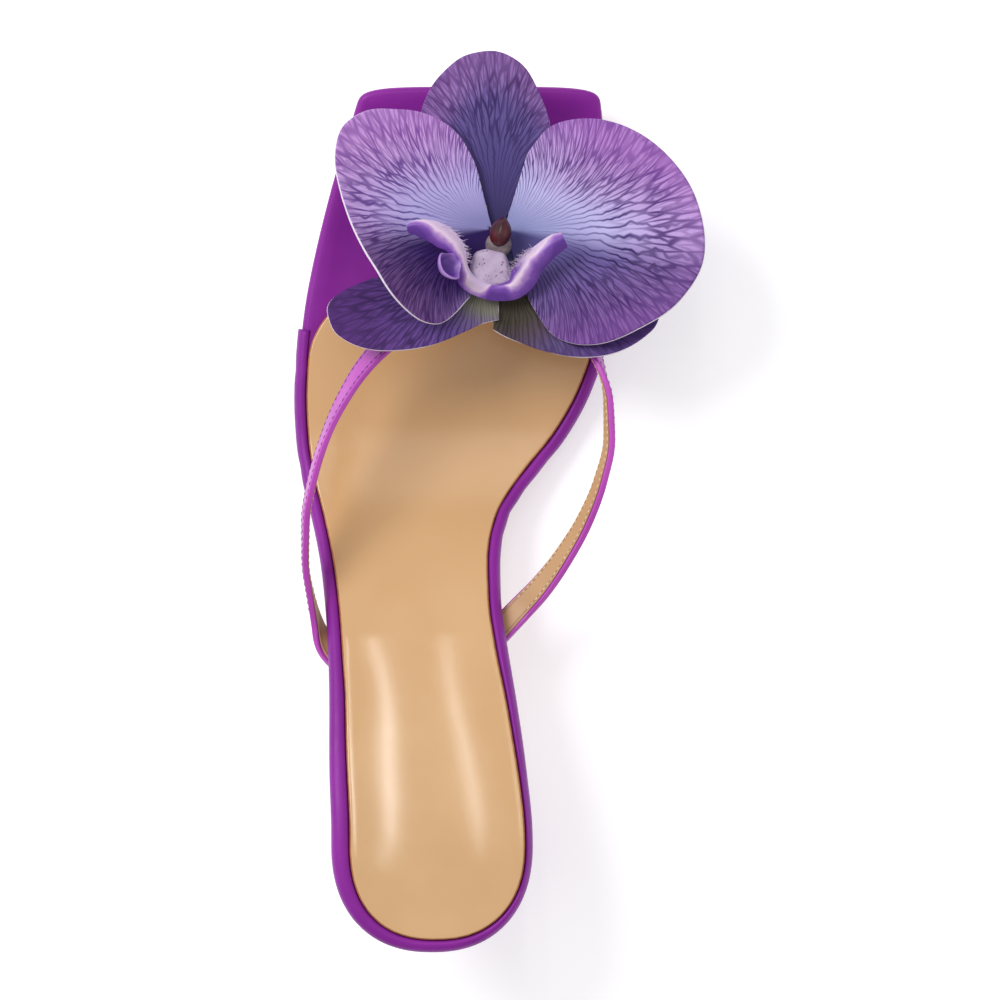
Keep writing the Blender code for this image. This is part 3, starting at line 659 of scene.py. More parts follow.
def make_sock(leather, cut):
    """Inlaid sock with a dished heel seat and a painted cut edge."""
    edge = refined(SOCK_EDGE, SOCK_RINGS)
    levels = layer_levels(HEEL_END, TONGUE_END, edge, SOLE_CELLS)
    for row, level in enumerate(levels):
        grid = plan_grid(HEEL_END, TONGUE_END, edge[row][0], SOLE_CELLS)
        level[..., 0] += MM * seat_shift(grid[..., 1])
        level[..., 2] -= MM * dish(grid) * min(row, 1)
    made = add_piece("sock_leather", stack(levels, SOLE_CELLS, SOCK_CUT_RINGS), [leather, cut])
    stand_for(made, "sock")


def make_outsole(rubber):
    """Outsole with fine slanted ribs where the forefoot treads."""
    edge = refined(OUTSOLE_EDGE, OUTSOLE_RINGS)
    levels = layer_levels(BREAST_END, TOE_END, edge, TREAD_CELLS)
    under = plan_grid(BREAST_END, TOE_END, edge[0][0], TREAD_CELLS)
    away = edge_distance(under, plan_ring(BREAST_END, TOE_END, 0.0, TREAD_CELLS))
    along = under[..., 1]
    first, last = TREAD_RUN
    share = smooth_step(*TREAD_BORDER, away) * smooth_step(first, first + TREAD_FADE, along)
    share *= 1.0 - smooth_step(last - TREAD_FADE, last, along)
    ribs = np.cos(2.0 * math.pi * (along + TREAD_SLANT * np.abs(under[..., 0])) / TREAD_PITCH)
    levels[0][..., 2] += TREAD_DEPTH * MM * share * smooth_step(*RIB_FLANK, ribs)
    stand_for(add_piece("outsole_tread", stack(levels, TREAD_CELLS), [rubber]), "outsole")


def binding_crease(ring):
    """How far each point of an outline is drawn in by the creases of the binding."""
    outer, inner = plan_sides(ring[:, 1])
    side = np.sign(ring[:, 0] - (outer + inner) / 2.0)
    total = np.zeros(len(ring))
    for at_side, place, depth, half in BINDING_CREASES:
        total += np.where(side == at_side, depth * np.exp(-((ring[:, 1] - place) / half) ** 2), 0.0)
    return total


def make_binding(leather):
    """Leather wrapped over the footbed edge, from the outer seam round the heel to the inner seam."""
    edge = refined(BINDING_EDGE, EDGE_RINGS)
    plain = plan_ring(HEEL_END, TOE_END, 0.0, SOLE_CELLS)
    crease = binding_crease(plain)[:, None]
    rings = np.array([plan_ring(HEEL_END, TOE_END, inset + crease, SOLE_CELLS) for inset, height in edge])
    order = np.arange(len(plain))
    start = 2 * SOLE_CELLS[0] + SOLE_CELLS[1]
    path = [index for index in np.roll(order, -start) if plain[index, 1] <= BINDING_SEAM]
    mesh, u, v = grid_mesh((len(path) - 1, EDGE_RINGS - 1))
    station = np.round(u * (len(path) - 1)).astype(int)
    ring = np.round(v * (EDGE_RINGS - 1)).astype(int)
    flat = rings[ring, np.array(path)[station]]
    across = flat[:, 0] + seat_shift(flat[:, 1]) * smooth_step(*ROLL_REACH, edge[ring, 0])
    move_to(mesh, placed(across, flat[:, 1], sole_line(flat[:, 1]) + edge[ring, 1]))
    made = add_piece("edge_binding_leather", mesh, [leather])
    add_wall(made, BINDING_WALL, -1.0)
    stand_for(made, "edge_binding")


def heel_level(height, back, front, half_width, square, blend):
    """One heel section: round back, flatter front, drawn up to the seat by its blend."""
    u = np.linspace(-1.0, 1.0, HEEL_CELLS[0] + 1)[None, :]
    v = np.linspace(-1.0, 1.0, HEEL_CELLS[1] + 1)[:, None]
    round_u = u * np.sqrt(1.0 - v * v / 2.0)
    round_v = v * np.sqrt(1.0 - u * u / 2.0)
    part = np.where(v > 0.0, square, square * HEEL_BACK_SQUARE)
    across = HEEL_CENTRE + half_width * (round_u + part * (u - round_u))
    along = (back + front) / 2.0 + (front - back) / 2.0 * (round_v + part * (v - round_v))
    seat = sole_line(along) - GAP
    return placed(across, along, height + blend * (seat - height))


def make_heel(leather, rubber):
    heights = column(HEEL_LEVELS, 0)[::-1]
    levels = []
    for height in np.linspace(heights[0], heights[-1], HEEL_RINGS):
        row = [eased(heights, column(HEEL_LEVELS, index)[::-1], height, HEEL_EASE) for index in range(1, 5)]
        blend = ((height - heights[0]) / (heights[-1] - heights[0])) ** SEAT_BLEND
        levels.append(heel_level(height, *row, blend))
    stand_for(add_piece("heel_cover", stack(levels, HEEL_CELLS), [leather]), "heel")
    back, front, half_width, square = HEEL_LEVELS[-1][1:]
    levels = []
    for trim, height in refined(TOP_PIECE_EDGE, TOP_PIECE_RINGS):
        levels.append(heel_level(height, back + trim, front - trim, half_width - trim, square, 0.0))
    stand_for(add_piece("heel_top_rubber", stack(levels, HEEL_CELLS), [rubber]), "heel_top_piece")


def strap_frames(name, parts):
    """Centres, directions, side directions and outer normals of a strap at shares of its length."""
    rows = np.array(STRAPS[name], float)
    run = np.concatenate(([0.0], np.cumsum(np.linalg.norm(np.diff(rows[:, :3], axis=0), axis=1))))

    def centre(at):
        along, across, height = (eased(run, rows[:, index], at, STRAP_EASE) for index in range(3))
        return np.stack((across, along, height), axis=-1)

    at = np.asarray(parts) * run[-1]
    forward = centre(np.minimum(at + STRAP_STEP, run[-1])) - centre(np.maximum(at - STRAP_STEP, 0.0))
    forward /= np.linalg.norm(forward, axis=-1)[:, None]
    lean = np.radians(eased(run, rows[:, 3], at, STRAP_EASE))[:, None]
    up = np.array((0.0, 0.0, 1.0)) - forward * forward[:, 2:]
    up /= np.linalg.norm(up, axis=-1)[:, None]
    out = np.cross(forward, up)
    if name == "outer":
        out = -out
    normal = up * np.cos(lean) + out * np.sin(lean)
    return centre(at), forward, np.cross(forward, normal), normal


def strap_length(name):
    rows = np.array(STRAPS[name], float)
    return np.linalg.norm(np.diff(rows[:, :3], axis=0), axis=1).sum()


def strap_layer(name, layer):
    """Open strip on the outer face of one layer of a strap, its faces turned away from the foot."""
    mesh, u, v = grid_mesh(STRAP_CELLS)
    centre, forward, side, normal = strap_frames(name, v)
    off = (2.0 * u - 1.0)[:, None]
    crown = layer["face"] + layer["crown"] * (1.0 - off * off)
    points = centre + side * (off * layer["width"] / 2.0 - layer["shift"] * side[:, 2:]) + normal * crown
    move_to(mesh, placed(*points.T))
    write_uv(mesh, "spread", u, v)
    mesh.normal_update()
    middle = list(mesh.faces)[len(mesh.faces) // 2]
    if middle.normal.dot(Vector(normal[middle.verts[0].index])) < 0.0:
        bmesh.ops.reverse_faces(mesh, faces=list(mesh.faces))
    return mesh


def make_straps(leather, lining):
    for name in STRAPS:
        made = add_piece(name + "_strap_leather", strap_layer(name, STRAP_LEATHER), [leather])
        add_wall(made, STRAP_LEATHER["wall"], -1.0)
        add_rounding(made, STRAP_ROUNDING, segments=4)
        stand_for(made, "upper")
        made = add_piece(name + "_strap_lining", strap_layer(name, STRAP_LINING), [lining])
        add_wall(made, STRAP_LINING["wall"], -1.0)
        add_rounding(made, STRAP_LINING["wall"] / 3.0, segments=2)


def make_stitches(face, layer, height, thread):
    """Rows of stitches along both edges of the straps, on the leather or on the lining."""
    mesh = bmesh.new()
    size = Matrix.Diagonal((*[value * MM for value in STITCH_SIZE], 1.0))
    for name in STRAPS:
        length = strap_length(name)
        count = int(length * (STITCH_RUN[1] - STITCH_RUN[0]) / STITCH_PITCH)
        parts = np.linspace(STITCH_RUN[0], STITCH_RUN[1], count)
        frames = zip(*strap_frames(name, parts))
        for centre, forward, side, normal in frames:
            turn = Matrix((side, forward, normal)).transposed().to_4x4()
            for edge in (-1.0, 1.0):
                off = edge * (layer["width"] / 2.0 - layer["inset"]) - layer["shift"] * side[2]
                point = placed(*(centre + side * off + normal * height))
                bmesh.ops.create_icosphere(mesh, subdivisions=1, radius=1.0,
                                           matrix=Matrix.Translation(point) @ turn @ size)
    bmesh.ops.recalc_face_normals(mesh, faces=list(mesh.faces))
    add_piece("strap_stitches_" + face, mesh, [thread], ROUND_ANGLE)


def turned(profile, sides):
    """Closed turned body from a profile of radius and height, in millimetres about the upright axis."""
    mesh = bmesh.new()
    verts = [mesh.verts.new((radius * MM, 0.0, height * MM)) for radius, height in profile]
    for first, second in zip(verts, verts[1:]):
        mesh.edges.new((first, second))
    bmesh.ops.spin(mesh, geom=list(mesh.verts) + list(mesh.edges), axis=(0.0, 0.0, 1.0), cent=(0.0, 0.0, 0.0),
                   angle=2.0 * math.pi, steps=sides, use_merge=True)
    bmesh.ops.remove_doubles(mesh, verts=list(mesh.verts), dist=WELD)
    bmesh.ops.holes_fill(mesh, edges=[edge for edge in mesh.edges if edge.is_boundary], sides=sides)
    bmesh.ops.recalc_face_normals(mesh, faces=list(mesh.faces))
    return mesh


def make_post(leather):
    """Rolled leather toe post from the footbed to the crossing of the straps."""
    foot = sole_line(FLOWER_ALONG) + FOOTBED_EDGE[-1][1]
    mesh = turned(refined(POST_PROFILE, POST_RINGS), POST_SIDES)
    bmesh.ops.translate(mesh, verts=list(mesh.verts), vec=flower_placed(0.0, 0.0, foot))
    made = add_piece("toe_post_leather", mesh, [leather])


def make_flower_base(felt):
    """Felt disc under the lobes with its peg."""
    mesh = turned(BASE_PROFILE, BASE_SIDES)
    lean = Matrix.Rotation(-math.atan(FLOWER_LEAN), 4, "X")
    place = Matrix.Translation(flower_placed(0.0, 0.0, FLOWER_SEAT))
    bmesh.ops.transform(mesh, matrix=place @ lean, verts=list(mesh.verts))
    stand_for(add_piece("flower_base_felt", mesh, [felt]), "flower_base")


def flower_height(across, along):
    """Height of the bowl that the lobes follow, for points measured from the flower."""
    return FLOWER_SEAT - FLOWER_LEAN * along + FLOWER_BOWL * (across * across + along * along)


def write_uv(mesh, name, first, second):
    layer = mesh.loops.layers.uv.new(name)
    for face in mesh.faces:
        for loop in face.loops:
            loop[layer].uv = (first[loop.vert.index], second[loop.vert.index])


def lobe_reach(name):
    return max(column(LOBES[name]["rays"], 1))


def cut_size(name, area):
    """Width across the midrib and length along it of a lobe's flat cut: its outline grown to its own area."""
    shape = LOBES[name]
    angles = column(shape["rays"], 0)
    angle = np.linspace(angles[0], angles[-1], CUT_STEPS)
    radius = eased(angles, column(shape["rays"], 1), angle, LOBE_EASE) * MM
    turn = np.radians(angle - shape["midrib"])
    width = np.ptp(np.append(radius * np.sin(turn), 0.0))
    length = np.ptp(np.append(radius * np.cos(turn), 0.0))
    outline = np.sum(radius[1:] * radius[:-1] * np.sin(np.diff(turn))) / 2.0
    grown = math.sqrt(area / outline)
    return width * grown, length * grown


def make_lobe(name, cloth, cut):
    """One printed lobe: a fan of rays from its base, pleated along its veins, with a pale cut edge."""
    shape = LOBES[name]
    angles = column(shape["rays"], 0)
    mesh, u, v = grid_mesh(LOBE_CELLS)
    angle = angles[0] + (angles[-1] - angles[0]) * u
    share = ROOT_SHARE + (1.0 - ROOT_SHARE) * v
    radius = eased(angles, column(shape["rays"], 1), angle, LOBE_EASE) * share
    across = shape["base"][0] + radius * np.cos(np.radians(angle))
    along = shape["base"][1] + radius * np.sin(np.radians(angle))
    if "tail" in shape:
        along -= ROOT_TAIL * (1.0 - share) ** ROOT_TAIL_POWER
    height = flower_height(across, along) + shape["lift"]
    height += shape["wave"] * share * share * (1.0 - np.cos(2.0 * math.pi * LOBE_WAVES * u)) / 2.0
    if "curl" in shape:
        off = (angle - shape["curl_ray"]) / shape["curl_spread"]
        height += shape["curl"] * share ** CURL_POWER * np.exp(-off * off)
    vein = np.radians(angle - shape["midrib"]) / np.hypot(radius / lobe_reach(name), VEIN_SOFT) ** VEIN_HUG
    height += PLEAT_DEPTH * np.sin(vein * PLEAT_COUNT) * share * smooth_step(0.0, PLEAT_END, 1.0 - share)
    move_to(mesh, flower_placed(across, along, height))
    area = sum(face.calc_area() for face in mesh.faces)
    write_uv(mesh, "veins", vein, radius / VEIN_UNIT)
    write_uv(mesh, "spread", u, share)
    made = add_piece(name + "_cloth", mesh, [cloth, cut], CLOTH_ANGLE)
    add_wall(made, LOBE_WALL, 0.0, 1)
    stand_for(made, name)
    cut_size(name, area)


def lip_points(u, v):
    """Points of the lip from its inner side (u = 0) to its outer side, from arm tip to arm tip along v."""
    rows = np.array(LIP)
    run = np.concatenate(([0.0], np.cumsum(np.linalg.norm(np.diff(rows[:, :2], axis=0), axis=1))))
    at = v * run[-1]
    across, along, rise, *sides = (eased(run, rows[:, index], at, LIP_EASE) for index in range(7))
    ahead = np.stack([eased(run, rows[:, index], at + LIP_STEP, LIP_EASE) for index in range(2)], axis=1)
    behind = np.stack([eased(run, rows[:, index], at - LIP_STEP, LIP_EASE) for index in range(2)], axis=1)
    forward = ahead - behind
    forward /= np.linalg.norm(forward, axis=1)[:, None]
    off = 2.0 * u - 1.0
    half = np.where(off < 0.0, sides[0], sides[1])
    drop = np.where(off < 0.0, sides[2], sides[3])
    height = FLOWER_SEAT + rise - drop * np.abs(off) ** LIP_CREST
    return flower_placed(across + forward[:, 1] * off * half, along - forward[:, 0] * off * half, height)


def make_lip(flesh):
    """Arched lip from arm tip to arm tip, pale along its inner side."""
    mesh, u, v = grid_mesh(LIP_CELLS)
    move_to(mesh, lip_points(u, v))
    write_uv(mesh, "spread", u, v)
    made = add_piece("lip_flesh", mesh, [flesh])
    add_wall(made, LIP_WALL, 0.0)
    add_rounding(made, LIP_WALL / 3.0, segments=3)
    stand_for(made, "lip")


def make_side_lobe(flesh):
    """Curled lobe with a wavy rim on the left arm of the lip, open towards the plate."""
    mesh = turned(refined(SIDE_LOBE_PROFILE, SIDE_LOBE_RINGS), SIDE_LOBE_SIDES)
    reach = max(column(SIDE_LOBE_PROFILE, 0)) * MM
    away = np.array([vert.co.xy.length / reach for vert in mesh.verts])
    for vert, part in zip(mesh.verts, away):
        wave = part * part * math.sin(SIDE_LOBE_WAVES * math.atan2(vert.co.y, vert.co.x))
        vert.co.xy *= 1.0 + SIDE_LOBE_WAVE[1] * wave
        vert.co.z += SIDE_LOBE_WAVE[0] * MM * wave
    mesh.verts.index_update()
    mesh.normal_update()
    upward = np.array([(vert.normal.z + 1.0) / 2.0 for vert in mesh.verts])
    write_uv(mesh, "spread", away, upward)
    across, along, rise = SIDE_LOBE_PLACE
    tilt = Matrix.Rotation(math.radians(SIDE_LOBE_TILTS[0]), 4, "Y")
    tilt = tilt @ Matrix.Rotation(math.radians(SIDE_LOBE_TILTS[1]), 4, "X")
    place = Matrix.Translation(flower_placed(across, along, FLOWER_SEAT + rise))
    bmesh.ops.transform(mesh, matrix=place @ tilt, verts=list(mesh.verts))
    add_piece("lip_side_lobe", mesh, [flesh], ROUND_ANGLE)


def make_plate(flesh):
    """Waxy plate in the throat of the lip, wider towards the lip and rounded all over."""
    mesh = bmesh.new()
    bmesh.ops.create_cube(mesh, size=2.0)
    bmesh.ops.subdivide_edges(mesh, edges=list(mesh.edges), cuts=PLATE_CUTS, use_grid_fill=True)
    for vert in mesh.verts:
        ball = vert.co.normalized() * PLATE_BALL
        vert.co = vert.co.lerp(ball, PLATE_ROUND)
        vert.co.x *= 1.0 - PLATE_TAPER * vert.co.y
    place = Matrix.Translation(flower_placed(*PLATE_OFFSET, FLOWER_SEAT + PLATE_SEAT + PLATE_SIZE[2] / 2.0))
    size = Matrix.Diagonal((*[value / 2.0 * MM for value in PLATE_SIZE], 1.0))
    bmesh.ops.transform(mesh, matrix=place @ size, verts=list(mesh.verts))
    made = add_piece("lip_plate_wax", mesh, [flesh])
    smooth = made.modifiers.new("soft", "SUBSURF")
    smooth.levels = 2
    smooth.render_levels = 2
    stand_for(made, "lip_plate")


def make_column(hood, collar):
    """Pointed hood with a ridge, sitting in a pale collar."""
    mesh = bmesh.new()
    bmesh.ops.create_uvsphere(mesh, u_segments=HOOD_CELLS[0], v_segments=HOOD_CELLS[1], radius=1.0)
    for vert in mesh.verts:
        x, y, z = vert.co
        vert.co.x = x * (1.0 - HOOD_TAPER * max(y, 0.0) ** 2)
        vert.co.z = z * (1.0 + HOOD_RIDGE[0] * math.exp(-(x / HOOD_RIDGE[1]) ** 2))
    middle = FLOWER_SEAT + PLATE_SEAT + HOOD_SIZE[2] / 2.0
    place = Matrix.Translation(flower_placed(*HOOD_OFFSET, middle))
    turn = Matrix.Rotation(math.radians(HOOD_TURN), 4, "Z")
    size = Matrix.Diagonal((*[value / 2.0 * MM for value in HOOD_SIZE], 1.0))
    bmesh.ops.transform(mesh, matrix=place @ turn @ size, verts=list(mesh.verts))
    stand_for(add_piece("column_hood", mesh, [hood]), "column")
    mesh = bmesh.new()
    place = Matrix.Translation(flower_placed(*COLLAR_OFFSET, FLOWER_SEAT + PLATE_SEAT + COLLAR_SIZE[2] / 2.0))
    size = Matrix.Diagonal((*[value / 2.0 * MM for value in COLLAR_SIZE], 1.0))
    bmesh.ops.create_uvsphere(mesh, u_segments=COLLAR_CELLS[0], v_segments=COLLAR_CELLS[1], radius=1.0,
                              matrix=place @ size)
    add_piece("column_collar", mesh, [collar])


def make_hairs(fuzz):
    """Short hairs on the inner edge of the lip."""
    chance = np.random.default_rng(HAIR_SEED)
    mesh = bmesh.new()
    lip_share = chance.choice((0.0, 1.0), HAIR_COUNT) * 0.5 + chance.uniform(*HAIR_RUN, HAIR_COUNT)
    roots = lip_points(chance.uniform(0.0, HAIR_ROOT, HAIR_COUNT), lip_share)
    middle = flower_placed(*PLATE_OFFSET, FLOWER_SEAT)
    for root in roots:
        length = chance.uniform(*HAIR_LENGTH) * MM
        towards = Vector((middle - root) * (1.0, 1.0, 0.0)).normalized()
        way = (towards + Vector(chance.normal(0.0, HAIR_STRAY, 3)) + Vector(HAIR_LIFT)).normalized()
        turn = way.to_track_quat("Z", "Y").to_matrix().to_4x4()
        place = Matrix.Translation(Vector(root) + way * length / 2.0) @ turn
        bmesh.ops.create_cone(mesh, cap_ends=True, segments=HAIR_SIDES, radius1=HAIR_RADIUS * MM,
                              radius2=HAIR_RADIUS * MM * HAIR_TIP, depth=length, matrix=place)
    add_piece("lip_hairs", mesh, [fuzz])


def add_node(tree, kind, inputs=None, **settings):
    """Shader node with its settings, and with values or links on its inputs."""
    made = tree.nodes.new(kind)
    for name, value in settings.items():
        setattr(made, name, value)
    for name, value in (inputs or {}).items():
        if isinstance(value, bpy.types.NodeSocket):
            tree.links.new(value, made.inputs[name])
        else:
            made.inputs[name].default_value = value
    return made


def new_paint(name, **values):
    """Material with a Principled shader and constant values on its sockets."""
    made = bpy.data.materials.new(name)
    made.use_nodes = True
    shader = made.node_tree.nodes["Principled BSDF"]
    for socket, value in values.items():
        shader.inputs[socket.replace("_", " ")].default_value = value
    return made, made.node_tree, shader


def mixed(tree, factor, first, second, blend="MIX"):
    """Colour mixed from two colours or colour sockets."""
    made = tree.nodes.new("ShaderNodeMix")
    made.data_type = "RGBA"
    made.blend_type = blend
    for index, value in ((0, factor), (6, first), (7, second)):
        if isinstance(value, bpy.types.NodeSocket):
            tree.links.new(value, made.inputs[index])
        else:
            made.inputs[index].default_value = value
    return made.outputs[2]


def worked(tree, operation, *values):
    """Number worked out from numbers or number sockets."""
    made = tree.nodes.new("ShaderNodeMath")
    made.operation = operation
    for index, value in enumerate(values):
        if isinstance(value, bpy.types.NodeSocket):
            tree.links.new(value, made.inputs[index])
        else:
            made.inputs[index].default_value = value
    return made.outputs[0]


def separated(tree, vector):
    """First and second number of a vector."""
    parts = add_node(tree, "ShaderNodeSeparateXYZ", {"Vector": vector}).outputs
    return parts["X"], parts["Y"]


def ramp(tree, factor, stops):
    """Colour read from a ramp of places and colours."""
    made = add_node(tree, "ShaderNodeValToRGB", {"Fac": factor})
    keys = made.color_ramp.elements
    while len(keys) < len(stops):
        keys.new(0.5)
    for key, (place, colour) in zip(keys, stops):
        key.position = place
        key.color = colour
    return made.outputs["Color"]


def spread_range(tree, value, low, high, to_low=0.0, to_high=1.0):
    names = {"Value": value, "From Min": low, "From Max": high, "To Min": to_low, "To Max": to_high}
    return add_node(tree, "ShaderNodeMapRange", names, interpolation_type="SMOOTHSTEP").outputs["Result"]


def faded(tree, amount, value, *span):
    """Amount that sets in or fades over a span of another value."""
    return worked(tree, "MULTIPLY", amount, spread_range(tree, value, *span))


def object_noise(tree, size, detail=3.0):
    """Noise with features of a size in millimetres, fixed to the piece."""
    place = add_node(tree, "ShaderNodeTexCoord").outputs["Object"]
    inputs = {"Vector": place, "Scale": 1.0 / (size * MM), "Detail": detail}
    return add_node(tree, "ShaderNodeTexNoise", inputs).outputs["Fac"]


def add_bump(tree, shader, height, strength, depth):
    bump = add_node(tree, "ShaderNodeBump", {"Height": height, "Strength": strength, "Distance": depth * MM})
    tree.links.new(bump.outputs["Normal"], shader.inputs["Normal"])


CLOUD_SIZE = 30.0
CLOUD_RANGE = (0.3, 0.7)
PORE_SIZE = 0.5
PORE_EDGE = 0.25
GRAIN_SIZE = 2.5
# Change of the roughness over the leather: size, range of its noise, least and most change.
WEAR_SIZE = 3.0
WEAR_RANGE = (0.3, 0.75)
WEAR_CHANGE = (-0.04, 0.05)
# Strength and depth of the leather grain, and on the polished seat.
GRAIN_BUMP = (0.07, 0.06)
SEAT_BUMP = (0.03, 0.01)
COAT_ROUGHNESS = 0.2
# Strength of the dark line under the stitches: needle holes and painted shade.
SEAM_DARKENING = 0.8
TWIST_SIZE = 0.5
TWIST_SHADE = 0.7
# Dark specks: size, reach and strength of each, range of the noise that picks them.
SPECK_SIZE = 0.9
SPECK_FADE = (0.15, 0.4, 0.85, 0.0)
SPECK_PICK = (0.48, 0.6)
# Heel seat polish and painted shade: last place with full polish and first place without it in the frame,
# roughness, and the darker dye beyond it.
SEAT_POLISH_AND_SHADE = (-0.035, 0.0, 0.085, srgb(213, 168, 118))


def leather_paint(name, colour, deep, roughness, coat, tint=(1.0, 1.0, 1.0, 1.0), seam=None, polish=None):
    """Smooth dyed leather: fine pores, clouded dye, a thin finish, a dark line of needle holes and painted
    shade under its stitches.
    """
    made, tree, shader = new_paint(name, Coat_Weight=coat, Coat_Roughness=COAT_ROUGHNESS, Specular_Tint=tint)
    cloud = spread_range(tree, object_noise(tree, CLOUD_SIZE), *CLOUD_RANGE)
    dye = mixed(tree, cloud, colour, deep)
    if seam:
        place, half, seam_dark = seam
        spread = add_node(tree, "ShaderNodeUVMap", uv_map="spread").outputs["UV"]
        across = separated(tree, spread)[0]
        off = worked(tree, "ABSOLUTE", worked(tree, "MULTIPLY_ADD", across, 2.0, -1.0))
        away = worked(tree, "ABSOLUTE", worked(tree, "SUBTRACT", off, place))
        # Dark line under the stitches: needle holes and painted shade.
        dye = mixed(tree, spread_range(tree, away, 0.0, half, SEAM_DARKENING, 0.0), dye, seam_dark)
    place = add_node(tree, "ShaderNodeTexCoord").outputs["Object"]
    pores = add_node(tree, "ShaderNodeTexVoronoi", {"Vector": place, "Scale": 1.0 / (PORE_SIZE * MM)},
                     feature="DISTANCE_TO_EDGE")
    grain = spread_range(tree, pores.outputs["Distance"], 0.0, PORE_EDGE)
    grain = worked(tree, "ADD", grain, object_noise(tree, GRAIN_SIZE))
    change = [roughness + value for value in WEAR_CHANGE]
    rough = spread_range(tree, object_noise(tree, WEAR_SIZE), *WEAR_RANGE, *change)
    if polish:
        first, last, smooth, shaded_beyond = polish
        seat = spread_range(tree, separated(tree, place)[1], first, last, 1.0, 0.0)
        # Painted shade: darker dye beyond the polished seat, where light falls off towards the ball.
        dye = mixed(tree, seat, shaded_beyond, dye)
        rough = worked(tree, "MULTIPLY_ADD", seat, worked(tree, "SUBTRACT", smooth, rough), rough)
        add_bump(tree, shader, grain, *SEAT_BUMP)
    else:
        add_bump(tree, shader, grain, *GRAIN_BUMP)
    tree.links.new(dye, shader.inputs["Base Color"])
    tree.links.new(rough, shader.inputs["Roughness"])
    return made


def thread_paint(name, colour):
    """Twisted sewing thread."""
    made, tree, shader = new_paint(name, Roughness=0.55, Sheen_Weight=0.3)
    cloud = spread_range(tree, object_noise(tree, TWIST_SIZE), *CLOUD_RANGE)
    dark = tuple(value * TWIST_SHADE for value in colour[:3]) + (1.0,)
    tree.links.new(mixed(tree, cloud, colour, dark), shader.inputs["Base Color"])
    return made


def plain_paint(name, colour, deep, roughness, size, relief, speck=None):
    """Matt rubber, felt or wax with a fine mottle, and here and there a dark speck."""
    made, tree, shader = new_paint(name, Roughness=roughness)
    cloud = spread_range(tree, object_noise(tree, size), *CLOUD_RANGE)
    dye = mixed(tree, cloud, colour, deep)
    if speck:
        place = add_node(tree, "ShaderNodeTexCoord").outputs["Object"]
        dots = add_node(tree, "ShaderNodeTexVoronoi", {"Vector": place, "Scale": 1.0 / (SPECK_SIZE * MM)})
        near = spread_range(tree, dots.outputs["Distance"], *SPECK_FADE)
        chosen = spread_range(tree, object_noise(tree, 3.0 * SPECK_SIZE, 1.0), *SPECK_PICK)
        dye = mixed(tree, worked(tree, "MULTIPLY", near, chosen), dye, speck)
    tree.links.new(dye, shader.inputs["Base Color"])
    add_bump(tree, shader, object_noise(tree, size / 4.0), relief, 0.1)
    return made


# Print of the lobes: pale cells and veins from the base to the margin.
PETAL_PRINT = {
    "midrib": -0.22,
    "margin": 0.5,
    "cells": ((0.1, srgb(146, 150, 200)), (0.4, srgb(194, 186, 234)), (0.62, srgb(198, 168, 226)),
              (0.85, srgb(188, 142, 210)), (1.0, srgb(180, 128, 202))),
    "veins": ((0.1, srgb(116, 116, 178)), (0.4, srgb(66, 52, 122)), (0.62, srgb(70, 36, 112)),
              (0.85, srgb(102, 54, 138)), (1.0, srgb(130, 76, 160))),
}
SEPAL_PRINT = {
    "midrib": 0.0,
    "margin": 0.3,
    "cells": ((0.1, srgb(58, 50, 98)), (0.4, srgb(82, 70, 130)), (0.7, srgb(106, 90, 154)),
              (0.88, srgb(148, 112, 178)), (1.0, srgb(146, 106, 172))),
    "veins": ((0.1, srgb(46, 38, 82)), (0.4, srgb(46, 34, 84)), (0.7, srgb(54, 38, 94)),
              (0.88, srgb(74, 42, 102)), (1.0, srgb(86, 50, 114))),
}
# The petal print made lighter for the left petal: painted light on its lit top and left margins.
LEFT_PETAL_LIT_PRINT = {
    "midrib": -0.15,
    "margin": 0.42,
    "cells": ((0.1, srgb(142, 138, 192)), (0.4, srgb(184, 172, 226)), (0.62, srgb(198, 166, 226)),
              (0.85, srgb(208, 162, 226)), (1.0, srgb(200, 150, 220))),
    "veins": ((0.1, srgb(120, 118, 178)), (0.4, srgb(92, 78, 148)), (0.62, srgb(92, 56, 136)),
              (0.85, srgb(112, 64, 148)), (1.0, srgb(140, 86, 168))),
}
LEFT_PRINT = {
    "midrib": 0.0,
    "margin": 0.0,
    "cells": ((0.28, srgb(122, 120, 108)), (0.36, srgb(112, 94, 138)), (0.46, srgb(110, 82, 156)),
              (0.8, srgb(98, 60, 134)), (1.0, srgb(92, 52, 124))),
    "veins": ((0.28, srgb(98, 96, 82)), (0.36, srgb(74, 62, 92)), (0.46, srgb(60, 42, 92)),
              (0.8, srgb(62, 38, 90)), (1.0, srgb(68, 40, 96))),
}
# Right sepal print: olive at its base and darker there than the left sepal, painted shade under the right
# petal and the lip.
RIGHT_SEPAL_SHADED_PRINT = {
    "midrib": 0.0,
    "margin": 0.0,
    "cells": ((0.36, srgb(66, 60, 50)), (0.46, srgb(84, 68, 84)), (0.58, srgb(94, 76, 124)),
              (0.8, srgb(104, 76, 144)), (1.0, srgb(100, 68, 140))),
    "veins": ((0.36, srgb(46, 42, 34)), (0.46, srgb(60, 46, 62)), (0.58, srgb(64, 48, 92)),
              (0.8, srgb(72, 50, 110)), (1.0, srgb(74, 48, 114))),
}
